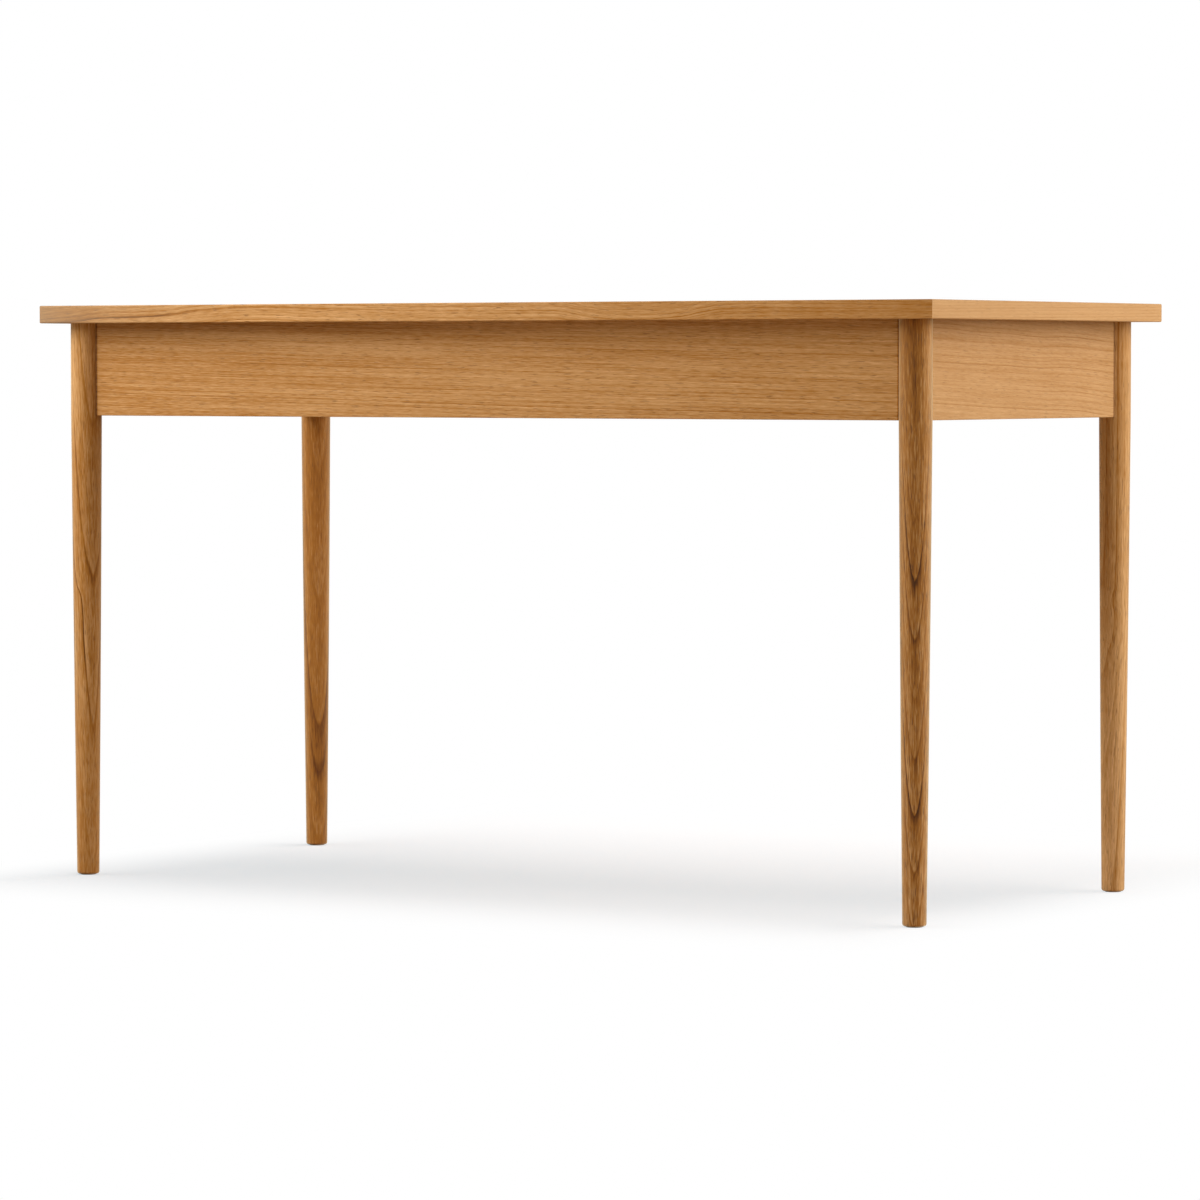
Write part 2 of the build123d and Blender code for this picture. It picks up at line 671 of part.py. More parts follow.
def build_drawer_front(name, centre):
    """The front, with sockets for the dovetails, a groove for the bottom and the knob's hole."""
    half = DRAWER_WIDTH / 2
    with BuildPart() as front:
        slab((centre - half, FRONT_OUTER, FRONT_LOW), (centre + half, FRONT_INNER, FRONT_HIGH))
        fillet(front.faces().sort_by(Axis.Y)[0].edges(), ARRIS)
        slab(
            (centre - half, FRONT_INNER, GROOVE_LOW),
            (centre + half, FRONT_INNER - GROOVE_DEPTH, GROOVE_HIGH),
            Mode.SUBTRACT,
        )
        for x_low in (centre - half, centre + half - SIDE_THICKNESS):
            extrude(dovetails(x_low), amount=SIDE_THICKNESS, mode=Mode.SUBTRACT)
        with Locations((centre, (FRONT_OUTER + FRONT_INNER) / 2, KNOB_LEVEL)):
            Cylinder(
                KNOB_SCREW_RADIUS + KNOB_SCREW_SLACK, FRAME_THICKNESS, rotation=ALONG_Y, mode=Mode.SUBTRACT
            )
    save(front, f"{name}_drawer_front")


def build_drawer_side(name, centre, side_x):
    """A side, with tails at the front, a groove for the bottom and a housing for the back."""
    outer = centre + side_x * DRAWER_WIDTH / 2
    inner = outer - side_x * SIDE_THICKNESS
    with BuildPart() as side:
        slab((outer, FRONT_INNER, SIDE_LOW), (inner, SIDE_REAR, SIDE_HIGH))
        extrude(dovetails(min(outer, inner)), amount=SIDE_THICKNESS)
        slab(
            (inner, FRONT_INNER - TAIL_LENGTH, GROOVE_LOW),
            (inner + side_x * GROOVE_DEPTH, SIDE_REAR, GROOVE_HIGH),
            Mode.SUBTRACT,
        )
        slab(
            (inner, DRAWER_BACK_FRONT, GROOVE_HIGH),
            (inner + side_x * HOUSING_DEPTH, DRAWER_BACK_REAR, SIDE_HIGH),
            Mode.SUBTRACT,
        )
    save(side, f"{name}_drawer_{'left' if side_x < 0 else 'right'}_side")


def build_drawer_back(name, centre):
    """The back, let into both sides and resting on the bottom."""
    half = DRAWER_WIDTH / 2 - SIDE_THICKNESS + HOUSING_DEPTH
    with BuildPart() as back:
        slab(
            (centre - half, DRAWER_BACK_FRONT, GROOVE_HIGH),
            (centre + half, DRAWER_BACK_REAR, SIDE_HIGH - DRAWER_BACK_DROP),
        )
    save(back, f"{name}_drawer_back")


def build_drawer_bottom(name, centre):
    """The thin bottom, slid in from behind along the grooves."""
    half = DRAWER_WIDTH / 2 - SIDE_THICKNESS + GROOVE_DEPTH - BOTTOM_END_GAP
    with BuildPart() as bottom:
        slab(
            (centre - half, FRONT_INNER - GROOVE_DEPTH + BOTTOM_END_GAP, GROOVE_LOW + GROOVE_SLACK),
            (centre + half, SIDE_REAR - BOTTOM_END_GAP, GROOVE_HIGH - GROOVE_SLACK),
        )
    save(bottom, f"{name}_drawer_bottom")


def build_knob(name, centre):
    """A turned knob: a small collar, a waist, a rounded rim and a low dome."""
    collar_edge = (KNOB_BASE_RADIUS, KNOB_COLLAR)
    waist = (KNOB_NECK_RADIUS, KNOB_NECK_REACH)
    rim_start = (KNOB_RADIUS, KNOB_RIM_START)
    rim_end = (KNOB_RADIUS, KNOB_RIM_END)
    dome_height = KNOB_LENGTH - KNOB_RIM_END
    dome_radius = (KNOB_RADIUS**2 + dome_height**2) / (2 * dome_height)
    origin = (centre, FRONT_OUTER, KNOB_LEVEL)
    with BuildPart() as knob:
        with BuildSketch(Plane(origin=origin, x_dir=(1, 0, 0), z_dir=(0, 0, -1))) as profile:
            with BuildLine():
                Line((0, 0), (KNOB_BASE_RADIUS, 0))
                Line((KNOB_BASE_RADIUS, 0), collar_edge)
                ThreePointArc(collar_edge, waist, rim_start)
                Line(rim_start, rim_end)
                RadiusArc(rim_end, (0, KNOB_LENGTH), -dome_radius)
                Line((0, KNOB_LENGTH), (0, 0))
            make_face()
            fillet(profile.vertices().group_by(Axis.X)[-1], KNOB_RIM_ROUNDING)
        revolve(axis=Axis(origin, (0, -1, 0)))
        with Locations(Plane(origin=origin, z_dir=(0, -1, 0))):
            Cylinder(
                KNOB_SCREW_RADIUS + GLUE_FILM,
                KNOB_SCREW_DEPTH + DOWEL_END_GAP,
                align=FROM_END,
                mode=Mode.SUBTRACT,
            )
    save(knob, f"{name}_drawer_knob")


def build_knob_screw(name, centre):
    """The screw that goes through the front from inside and holds the knob."""
    seat = Plane(origin=(centre, FRONT_INNER, KNOB_LEVEL), z_dir=(0, -1, 0))
    with BuildPart() as knob_screw:
        with Locations(seat):
            Cylinder(KNOB_SCREW_RADIUS, FRAME_THICKNESS + KNOB_SCREW_DEPTH, align=FROM_END)
        with Locations(seat.offset(-KNOB_SCREW_HEAD_HEIGHT)):
            Cylinder(KNOB_SCREW_HEAD_RADIUS, KNOB_SCREW_HEAD_HEIGHT, align=FROM_END)
            cut_cross_recess()
    save(knob_screw, f"{name}_drawer_knob_screw")


for name, centre in zip(DRAWER_NAMES, DRAWER_CENTRES):
    build_drawer_front(name, centre)
    build_drawer_side(name, centre, -1)
    build_drawer_side(name, centre, 1)
    build_drawer_back(name, centre)
    build_drawer_bottom(name, centre)
    build_knob(name, centre)
    build_knob_screw(name, centre)

print(f"drawer opening {OPENING_WIDTH:.2f} wide, drawers {DRAWER_PITCH:.2f} apart, inside to {END_EDGE:.2f}")
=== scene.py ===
# %% [markdown]
# # A teak writing desk, from packed pieces to a studio picture
# The desk comes as sixty pieces, or groups of like pieces: a veneered top with mitred lippings, four turned
# legs, aprons, a front frame with three drawers, and the dowels, bolts and screws that hold them. Their
# shapes are already at true size, so this lesson never moves one. It gives each the finish of the real
# material, sets up the light, and puts the camera where the photographer stood, behind a back corner.

import math
from itertools import count

import bpy
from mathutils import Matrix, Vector


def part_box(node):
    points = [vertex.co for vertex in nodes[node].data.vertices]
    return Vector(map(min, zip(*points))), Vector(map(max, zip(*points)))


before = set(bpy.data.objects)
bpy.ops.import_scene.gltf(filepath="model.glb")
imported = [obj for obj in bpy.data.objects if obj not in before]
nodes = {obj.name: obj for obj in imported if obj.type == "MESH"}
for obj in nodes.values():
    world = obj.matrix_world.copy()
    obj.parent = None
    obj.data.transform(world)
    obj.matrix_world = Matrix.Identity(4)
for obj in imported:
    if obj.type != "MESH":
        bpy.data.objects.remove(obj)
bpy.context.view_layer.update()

# %% [markdown]
# ## Where the photographer stood
# The picture was taken from seven metres away with a long lens, a little below the height of the top, so
# the uprights stay nearly parallel and the top shows only its edge. A camera can be aimed by eye, but the
# desk's straight edges fix it far better: the place, the lens and the two angles were solved from them.

# %% Camera
LENS_MILLIMETRES = 161.893
CAMERA_PLACE = Vector((-3.77839, 5.88563, 0.67078))
VIEW_AZIMUTH = math.radians(212.6138)
VIEW_PITCH = math.radians(2.48078)
FARTHEST_SEEN = 200.0

# two level directions to place lamps by: from the desk to the camera, and to the right of the picture
to_camera = Vector((math.sin(VIEW_AZIMUTH), -math.cos(VIEW_AZIMUTH), 0.0))
picture_right = Vector((math.cos(VIEW_AZIMUTH), math.sin(VIEW_AZIMUTH), 0.0))
straight_up = Vector((0.0, 0.0, 1.0))

camera_data = bpy.data.cameras.new("camera")
camera_data.lens = LENS_MILLIMETRES
camera_data.clip_end = FARTHEST_SEEN
camera = bpy.data.objects.new("camera", camera_data)
camera.location = CAMERA_PLACE
looking = -to_camera * math.cos(VIEW_PITCH) - straight_up * math.sin(VIEW_PITCH)
camera.rotation_euler = looking.to_track_quat("-Z", "Y").to_euler()
bpy.context.scene.collection.objects.link(camera)
bpy.context.scene.camera = camera
print("camera looks along", [round(part, 3) for part in looking])

# %% [markdown]
# ## Softboxes
# The legs are pale down both edges and darker in the middle, and the end of the desk is brighter than its
# back, so the light comes from the sides and hardly from the camera. A softbox is a large soft lamp. Many
# small lamps could do the same, but one large one at each side is quicker to place and shades as softly.
# A third hangs overhead and will light the floor alone. None of them shows to the camera.

# %% Lamps
DESK_MIDDLE = Vector((0.0, 0.0, 0.45))
SIDE_BOX = (1.8, 1.8)
OVERHEAD_BOX = (2.6, 2.0)


def softbox(name, size, watts, height, right=0.0, towards=0.0):
    """A soft rectangular lamp aimed at the desk, placed in metres as seen from the camera."""
    light = bpy.data.lights.new(name, "AREA")
    light.shape = "RECTANGLE"
    light.size, light.size_y = size
    light.energy = watts
    lamp = bpy.data.objects.new(name, light)
    lamp.location = picture_right * right + to_camera * towards + straight_up * height
    lamp.rotation_euler = (DESK_MIDDLE - lamp.location).to_track_quat("-Z", "Y").to_euler()
    lamp.visible_camera = False
    bpy.context.scene.collection.objects.link(lamp)
    print("lamp", name, "at", [round(part, 2) for part in lamp.location])
    return lamp


left_lamp = softbox("softbox_left", SIDE_BOX, watts=71.5, height=1.9, right=-2.15, towards=0.5)
right_lamp = softbox("softbox_right", SIDE_BOX, watts=29.7, height=1.55, right=2.2, towards=0.45)
overhead_lamp = softbox("softbox_overhead", OVERHEAD_BOX, watts=30.0, height=2.7)

# %% [markdown]
# ## Laying out shader nodes
# Every finish below is a recipe of shader nodes. Joining nodes by hand takes three lines a node, so this
# bench adds a node, feeds its inputs with numbers or with other nodes, and hands back its output. A formula
# then reads like a line of arithmetic.

# %% Node arithmetic
class ArithmeticBench:
    """Lays out shader nodes in one tree and joins them by arithmetic."""

    def __init__(self, tree):
        self.tree = tree
        self.tree.nodes.clear()

    def add(self, kind, inputs=None, **settings):
        node = self.tree.nodes.new(kind)
        for setting, value in settings.items():
            setattr(node, setting, value)
        for socket, value in (inputs or {}).items():
            self.feed(node.inputs[socket], value)
        return node

    def feed(self, socket, value):
        if isinstance(value, bpy.types.NodeSocket):
            self.tree.links.new(value, socket)
        else:
            socket.default_value = value

    def math(self, operation, *values):
        return self.add("ShaderNodeMath", dict(enumerate(values)), operation=operation).outputs[0]

    def total(self, *values):
        result = values[0]
        for value in values[1:]:
            result = self.math("ADD", result, value)
        return result

    def product(self, *values):
        result = values[0]
        for value in values[1:]:
            result = self.math("MULTIPLY", result, value)
        return result

    def rest_of_one(self, share):
        return self.math("SUBTRACT", 1.0, share)

    def vector(self, operation, *values):
        node = self.add("ShaderNodeVectorMath", dict(enumerate(values)), operation=operation)
        gives_number = operation in ("DOT_PRODUCT", "LENGTH")
        return node.outputs["Value" if gives_number else "Vector"]


print("the bench can:", [skill for skill in vars(ArithmeticBench) if not skill.startswith("_")])

# %% [markdown]
# ## Noise, steps, curves and colours
# Grain needs a few more tools: smooth noise for what varies by chance, a soft step for what starts and
# stops, a curve for a value that is given along a board, and a ramp that turns a number into a colour.
# All of them work from the point's place in the desk's frame, so the pattern is cut through like real wood
# and stays with a drawer when it slides. Unwrapped pictures would need a seam at every edge.

# %% Texture nodes
# the mix node has a set of sockets for each kind of value, and these are the ones for colours
MIX_FIRST, MIX_SECOND, MIX_RESULT = 6, 7, 2


class NodeBench(ArithmeticBench):
    """A bench that also knows places, noise, steps, curves and colours."""

    def desk_place(self):
        """The shaded point in metres in the desk's frame, as it lies when nothing has moved."""
        return self.add("ShaderNodeTexCoord").outputs["Object"]

    def noise(self, place, per_metre, detail):
        """Smooth noise about zero. per_metre says how many blotches fit in a metre along each axis."""
        stretched = self.vector("MULTIPLY", place, per_metre)
        node = self.add("ShaderNodeTexNoise", {"Vector": stretched, "Scale": 1.0, "Detail": detail})
        return self.math("SUBTRACT", node.outputs[0], 0.5)

    def step(self, value, start, end):
        """Rises smoothly from 0 to 1 while the value goes from start to end."""
        inputs = {"Value": value, "From Min": start, "From Max": end}
        return self.add("ShaderNodeMapRange", inputs, interpolation_type="SMOOTHSTEP").outputs[0]

    def curve(self, value, points):
        """A smooth curve through points of (value, result), level beyond both ends."""
        first, last = points[0][0], points[-1][0]
        results = [result for spot, result in points]
        low, high = min(results), max(results)
        share = self.add("ShaderNodeMapRange", {"Value": value, "From Min": first, "From Max": last})
        node = self.add("ShaderNodeFloatCurve", {"Value": share.outputs[0]})
        line = node.mapping.curves[0].points
        for spot, result in points[1:-1]:
            line.new(0.5, 0.5)
        for handle, (spot, result) in zip(line, points):
            handle.location = ((spot - first) / (last - first), (result - low) / (high - low))
        node.mapping.update()
        span = {"Value": node.outputs[0], "To Min": low, "To Max": high}
        return self.add("ShaderNodeMapRange", span).outputs[0]

    def ramp(self, factor, stops):
        node = self.add("ShaderNodeValToRGB", {"Fac": factor})
        elements = node.color_ramp.elements
        elements[0].position = stops[0][0]
        elements[1].position = stops[-1][0]
        for position, colour in stops[1:-1]:
            elements.new(position)
        for element, (position, colour) in zip(elements, stops):
            element.color = colour
        return node.outputs["Color"]

    def mix(self, factor, first, second):
        node = self.add("ShaderNodeMix", {0: factor, MIX_FIRST: first, MIX_SECOND: second}, data_type="RGBA")
        return node.outputs[MIX_RESULT]


print("it now also can:", [skill for skill in vars(NodeBench) if not skill.startswith("_")])

# %% [markdown]
# ## Colours as the eye reads them
# A colour on a screen runs from 0 to 255 and isn't in proportion to light. Shaders work in plain amounts of
# light. The colours could be written as such, but no one can picture them, so each wood's colour is written
# as it looks on a screen and goes through the standard screen curve once.

# %% Screen colours
BRIGHTEST = 255.0
DARKEST_CURVED = 0.04045
DARK_SLOPE = 12.92
CURVE_OFFSET = 0.055
CURVE_POWER = 2.4


def light_of(channel):
    share = channel / BRIGHTEST
    if share <= DARKEST_CURVED:
        return share / DARK_SLOPE
    return ((share + CURVE_OFFSET) / (1.0 + CURVE_OFFSET)) ** CURVE_POWER


def linear(red, green, blue):
    """A screen colour of 0 to 255 as the linear colour that a shader takes."""
    return (light_of(red), light_of(green), light_of(blue), 1.0)


WHITE = (1.0, 1.0, 1.0, 1.0)
print("a mid grey of 128 is", round(linear(128, 128, 128)[0], 3), "in linear light")

# %% [markdown]
# ## White room
# The desk stands in a white room whose side walls glow. The camera and reflections see plain white, so the
# background is white, and the room's own light on the wood comes from the two walls, more from the right
# one. A photographed room could be wrapped round the desk, but two numbers are easier to judge: a wall's
# light grows with the square of how far sideways a ray points.

# %% World
LEFT_WALL = 1.25
RIGHT_WALL = 3.1


def seen_directly(bench):
    """1 for rays from the camera, straight, mirrored or through glass, 0 for rays that carry soft light."""
    path = bench.add("ShaderNodeLightPath").outputs
    straight_or_mirrored = bench.math("MAXIMUM", path["Is Camera Ray"], path["Is Glossy Ray"])
    return bench.math("MAXIMUM", straight_or_mirrored, path["Is Transmission Ray"])


world = bpy.data.worlds.new("white_room")
world.use_nodes = True
bpy.context.scene.world = world
room = NodeBench(world.node_tree)
white_room = room.add("ShaderNodeBackground", {"Color": WHITE, "Strength": 1.0}).outputs[0]
ray = room.add("ShaderNodeTexCoord").outputs["Generated"]
sideways = room.vector("DOT_PRODUCT", ray, picture_right)
to_the_right = room.math("GREATER_THAN", sideways, 0.0)
wall = room.total(LEFT_WALL, room.product(to_the_right, RIGHT_WALL - LEFT_WALL))
wall_light = room.product(sideways, sideways, wall)
side_walls = room.add("ShaderNodeBackground", {"Color": WHITE, "Strength": wall_light}).outputs[0]
room_mix = room.add("ShaderNodeMixShader", {0: seen_directly(room), 1: side_walls, 2: white_room})
room.add("ShaderNodeOutputWorld", {"Surface": room_mix.outputs[0]})
bpy.context.scene.view_settings.view_transform = "Standard"
print("side walls of strength", LEFT_WALL, "and", RIGHT_WALL)

# %% [markdown]
# ## A floor to stand on
# The floor is one flat sheet whose edge lies far off, and it is no part of the desk. A curved backdrop would
# do as well, but a flat floor looks the same from any side.

# %% Floor
FLOOR_HALF = 30.0
FLOOR_CORNERS = ((-1, -1), (1, -1), (1, 1), (-1, 1))

floor_mesh = bpy.data.meshes.new("studio_floor")
floor_mesh.from_pydata([(FLOOR_HALF * x, FLOOR_HALF * y, 0.0) for x, y in FLOOR_CORNERS], [], [(0, 1, 2, 3)])
floor = bpy.data.objects.new("studio_floor", floor_mesh)
bpy.context.scene.collection.objects.link(floor)
print("floor", 2 * FLOOR_HALF, "m wide")

# %% [markdown]
# ## Floor finish
# The floor throws a warm light back up at the desk, which gives the shaded wood its glow. To the camera it
# is a pale surface lifted until it is white where nothing shades it, so that only the soft shadow is left,
# and farther out it fades to plain white. From below it is clear, so that the underside can be looked at. A
# shadow could be laid in afterwards, but a material keeps it right in every view.

# %% Floor finish
SHADOW_MIDDLE = (0.03, -0.20, 0.0)
SHADOW_ALONG = (0.52, 0.78)
SHADOW_ACROSS = (0.40, 0.80)
FLOOR_WARM = (0.86, 0.68, 0.48, 1.0)
FLOOR_SEEN = (0.86, 0.72, 0.645, 1.0)
FLOOR_LIGHT = 0.832
FLOOR_LIFT = [1.0 - FLOOR_LIGHT * part for part in FLOOR_SEEN[:3]] + [1.0]


def new_material(name):
    """An empty material, and the bench to lay out its nodes on."""
    material = bpy.data.materials.new(name)
    material.use_nodes = True
    return material, NodeBench(material.node_tree)


sweep, paper = new_material("pale_sweep")
from_shadow = paper.vector("ABSOLUTE", paper.vector("SUBTRACT", paper.desk_place(), SHADOW_MIDDLE))
reach = paper.add("ShaderNodeSeparateXYZ", {0: from_shadow}).outputs
past_ends = paper.step(reach["X"], *SHADOW_ALONG)
past_sides = paper.step(reach["Y"], *SHADOW_ACROSS)
far = paper.math("MAXIMUM", past_ends, past_sides)
warm = paper.add("ShaderNodeBsdfDiffuse", {"Color": FLOOR_WARM}).outputs[0]
shaded = paper.add("ShaderNodeBsdfDiffuse", {"Color": FLOOR_SEEN}).outputs[0]
lift = paper.add("ShaderNodeEmission", {"Color": FLOOR_LIFT, "Strength": 1.0}).outputs[0]
white = paper.add("ShaderNodeEmission", {"Color": WHITE, "Strength": 1.0}).outputs[0]
near_look = paper.add("ShaderNodeAddShader", {0: shaded, 1: lift}).outputs[0]
seen_look = paper.add("ShaderNodeMixShader", {0: far, 1: near_look, 2: white}).outputs[0]
upper_side = paper.add("ShaderNodeMixShader", {0: seen_directly(paper), 1: warm, 2: seen_look}).outputs[0]
clear = paper.add("ShaderNodeBsdfTransparent").outputs[0]
underneath = paper.add("ShaderNodeNewGeometry").outputs["Backfacing"]
both_sides = paper.add("ShaderNodeMixShader", {0: underneath, 1: upper_side, 2: clear}).outputs[0]
paper.add("ShaderNodeOutputMaterial", {"Surface": both_sides})
floor_mesh.materials.append(sweep)
print("floor finish:", len(paper.tree.nodes), "nodes")

# %% [markdown]
# ## Which lamp lights what
# Three lamps would throw three shadows on the floor, and one soft shadow under the top is wanted. A shadow
# painted on the floor wouldn't follow an open drawer. So each lamp is linked to what it may light: the side
# lamps to the desk alone, and the overhead lamp to the floor alone.

# %% Light linking
desk_only = bpy.data.collections.new("desk_only")
for piece in nodes.values():
    desk_only.objects.link(piece)
floor_only = bpy.data.collections.new("floor_only")
floor_only.objects.link(floor)
overhead_lamp.light_linking.receiver_collection = floor_only
for lamp in (left_lamp, right_lamp):
    lamp.light_linking.receiver_collection = desk_only

# %% [markdown]
# ## Groups of nodes
# A recipe that is used again and again belongs in a node group, whose named sockets are like the knobs of a
# machine. Copying the nodes into every material would work, but each change would have to be made in all
# of them. This helper makes an empty group with its sockets.

# %% Group helper
def new_group(name, inputs, outputs):
    """A node group with the given sockets. Returns its bench, its inputs and its results."""
    tree = bpy.data.node_groups.new(name, "ShaderNodeTree")
    for socket, kind in inputs.items():
        tree.interface.new_socket(socket, in_out="INPUT", socket_type="NodeSocket" + kind)
    for socket, kind in outputs.items():
        tree.interface.new_socket(socket, in_out="OUTPUT", socket_type="NodeSocket" + kind)
    bench = NodeBench(tree)
    return bench, bench.add("NodeGroupInput").outputs, bench.add("NodeGroupOutput").inputs


print("node groups so far:", len(bpy.data.node_groups))

# %% [markdown]
# ## Where each piece sat in the tree
# Wood gets its figure from the tree's yearly rings, and what a board shows depends on how it was sawn out
# of them. A picture of grain could be stretched over each face, but it would not meet at the edges or
# turn into end grain. So each piece remembers its place in the log: which way the fibres run, which way
# the heart of the tree lay and how far off. One group turns any point of the piece into that place, and
# every wood in the desk is built on it. A veneered face is made of leaves, sliced one after another and
# opened like a book, so the distance across the grain can also be folded back and forth.

# %% Log group: along and across the grain
LOG_VECTORS = ("Middle", "Grain", "Heart")
LOG_NUMBERS = ("Heart distance", "Lean", "Sweep", "Bend", "Flute", "Leaf")
LOG_RESULTS = {"Place": "Vector", "Radius": "Float", "End grain": "Float"}
LEAF_THICKNESS = 0.0009

log_inputs = {**dict.fromkeys(LOG_VECTORS, "Vector"), **dict.fromkeys(LOG_NUMBERS, "Float")}
log, sawn, log_result = new_group("place_in_log", log_inputs, LOG_RESULTS)
texture = log.add("ShaderNodeTexCoord").outputs
from_middle = log.vector("SUBTRACT", texture["Object"], sawn["Middle"])
along = log.vector("DOT_PRODUCT", from_middle, sawn["Grain"])
side_axis = log.vector("CROSS_PRODUCT", sawn["Grain"], sawn["Heart"])
across = log.vector("DOT_PRODUCT", from_middle, side_axis)

half_leaf = log.product(sawn["Leaf"], 0.5)
from_edge = log.total(across, half_leaf)
leaf_number = log.math("FLOOR", log.math("DIVIDE", from_edge, sawn["Leaf"]))
leaf_across = log.math("SUBTRACT", log.math("PINGPONG", from_edge, sawn["Leaf"]), half_leaf)
leaf_depth = log.product(leaf_number, LEAF_THICKNESS)
print("log group, first part:", len(log.tree.nodes), "nodes")

# %% [markdown]
# ## Rings of a real trunk
# The heart of a real tree is never quite parallel to a board, so it may lean, sweep sideways or bend along
# the grain, and a fluted trunk has rings that are drawn in on both sides of a ridge. Perfect round rings
# would be simpler, but it is these faults that make points, waves and slanting lines on a board. A face
# that cuts across the fibres shows end grain, and the direction it faces tells.

# %% Log group: distance from the heart
ROUND_RIDGE = 0.0012
END_GRAIN_FACING = (0.6, 0.95)

side = log.total(leaf_across, log.product(along, sawn["Sweep"]))
inward = log.total(log.vector("DOT_PRODUCT", from_middle, sawn["Heart"]), leaf_depth, sawn["Bend"],
                   log.product(along, sawn["Lean"]))
to_heart = log.math("SUBTRACT", sawn["Heart distance"], inward)
log.feed(log_result["Place"], log.add("ShaderNodeCombineXYZ", {0: along, 1: side, 2: to_heart}).outputs[0])

cross_section = log.add("ShaderNodeCombineXYZ", {0: 0.0, 1: side, 2: to_heart}).outputs[0]
from_ridge = log.math("SQRT", log.total(log.product(side, side), ROUND_RIDGE * ROUND_RIDGE))
drawn_in = log.product(from_ridge, sawn["Flute"])
log.feed(log_result["Radius"], log.total(log.vector("LENGTH", cross_section), drawn_in))

facing_grain = log.math("ABSOLUTE", log.vector("DOT_PRODUCT", texture["Normal"], sawn["Grain"]))
log.feed(log_result["End grain"], log.step(facing_grain, *END_GRAIN_FACING))
print("log group:", len(log.tree.nodes), "nodes")

# %% [markdown]
# ## Teak
# Teak is honey brown with darker growth lines, long streaks of fibre and short dark pores. A photograph of
# a board would show all this once, the same on every piece. Here each of them is one term with its real
# size, their sum is the tone, and a colour ramp turns the tone into timber. The pattern is shifted by a
# seed, so that no two boards are alike.

# %% Teak group
TEAK_STOPS = [
    (0.00, linear(224, 178, 128)),
    (0.30, linear(187, 141, 89)),
    (0.55, linear(155, 100, 36)),
    (0.80, linear(114, 65, 18)),
    (1.00, linear(72, 38, 12)),
]
TEAK_INPUTS = ("Seed", "Ring width", "Ring strength", "Suddenness", "First year", "Unevenness", "Wander",
               "Wander length", "Streaks", "Shimmer", "Tone", "Marked radius", "Mark strength", "Joint",
               "Bleach", "Side shade")
TEAK_SHIFT = (3.7, 1.3, 2.1)
SURFACE_RESULTS = {"Colour": "Color", "Roughness": "Float", "Height": "Float"}


def new_wood(name, shift, inputs):
    """A group that turns a place in the log into a surface. Returns also the place as moved by the seed."""
    sockets = {**LOG_RESULTS, **dict.fromkeys(inputs, "Float")}
    bench, given, result = new_group(name, sockets, SURFACE_RESULTS)
    moved = bench.vector("ADD", given["Place"], bench.vector("MULTIPLY", shift, given["Seed"]))
    return bench, given, result, moved


teak, board, teak_result, own_place = new_wood("teak", TEAK_SHIFT, TEAK_INPUTS)
print("teak has", len(TEAK_INPUTS), "inputs")

# %% [markdown]
# ## Teak: one year after another
# A ring is one year. The rings wander along the board, fine fibres feather their edges, and wet and dry
# years make them wide or narrow. A plain wave would repeat like a screw thread, so each year also draws
# its own strength by lot: some years show strongly and some hardly at all.

# %% Teak years
WANDER_ACROSS = 9.0
FIBRE_GRAIN = (66.0, 1000.0, 1000.0)
FEATHERED = 0.00025
WEATHER_CHANGE = 0.31
WEAKEST_YEAR = 0.25

wander_grain = {0: board["Wander length"], 1: WANDER_ACROSS, 2: WANDER_ACROSS}
wander_scale = teak.add("ShaderNodeCombineXYZ", wander_grain).outputs[0]
wander = teak.product(teak.noise(own_place, wander_scale, 1.0), board["Wander"])
fibre = teak.noise(own_place, FIBRE_GRAIN, 2.0)
radius = teak.total(board["Radius"], wander, teak.product(fibre, FEATHERED))
ring = teak.math("DIVIDE", radius, board["Ring width"])
weather = {"W": teak.product(ring, WEATHER_CHANGE), "Scale": 1.0, "Detail": 1.0}
uneven = teak.add("ShaderNodeTexNoise", weather, noise_dimensions="1D").outputs[0]
ring = teak.total(ring, teak.product(uneven, board["Unevenness"]), board["First year"])
year = teak.math("FLOOR", ring)
season = teak.math("FRACT", ring)
luck = teak.add("ShaderNodeTexWhiteNoise", {"W": year}, noise_dimensions="1D").outputs["Value"]
year_strength = teak.total(WEAKEST_YEAR, teak.product(luck, luck))
print("teak years:", len(teak.tree.nodes), "nodes")

# %% [markdown]
# ## Teak: within a year
# In each ring the wood starts with a thin pale line, darkens and stops sharply. A power of the season does
# that: the higher it is, the later and more suddenly the dark comes. The line fades in and out along the
# board, as it does where a saw cuts a wavy tree.

# %% Teak seasons
PALE_START = (0.05, 0.22)
PALE_SHARE = 0.10
SOFT_STOP = (0.94, 1.0)
FADE_GRAIN = (2.5, 50.0, 50.0)
FADE_SHARE = 1.8

late = teak.math("POWER", season, board["Suddenness"])
before_stop = teak.rest_of_one(teak.step(season, *SOFT_STOP))
pale_start = teak.rest_of_one(teak.step(season, *PALE_START))
season_tone = teak.math("SUBTRACT", teak.product(late, before_stop), teak.product(pale_start, PALE_SHARE))
fade = teak.total(1.0, teak.product(teak.noise(own_place, FADE_GRAIN, 1.0), FADE_SHARE))
ring_tone = teak.product(season_tone, year_strength, fade, board["Ring strength"])
print("with seasons:", len(teak.tree.nodes), "nodes")

# %% [markdown]
# ## Teak: one marked year
# Some boards have one line much stronger than the rest, from a fire or a hard drought. It darkens slowly
# outwards, turns into a thin dark line, and stops. Raising every ring until that one shows would spoil the
# rest of the board, so it has a radius and a strength of its own.

# %% Teak marked year
MARK_HALF_WIDTH = 0.0006
DARKENING_RATE = 0.14
DARKENING_SHARE = 0.35

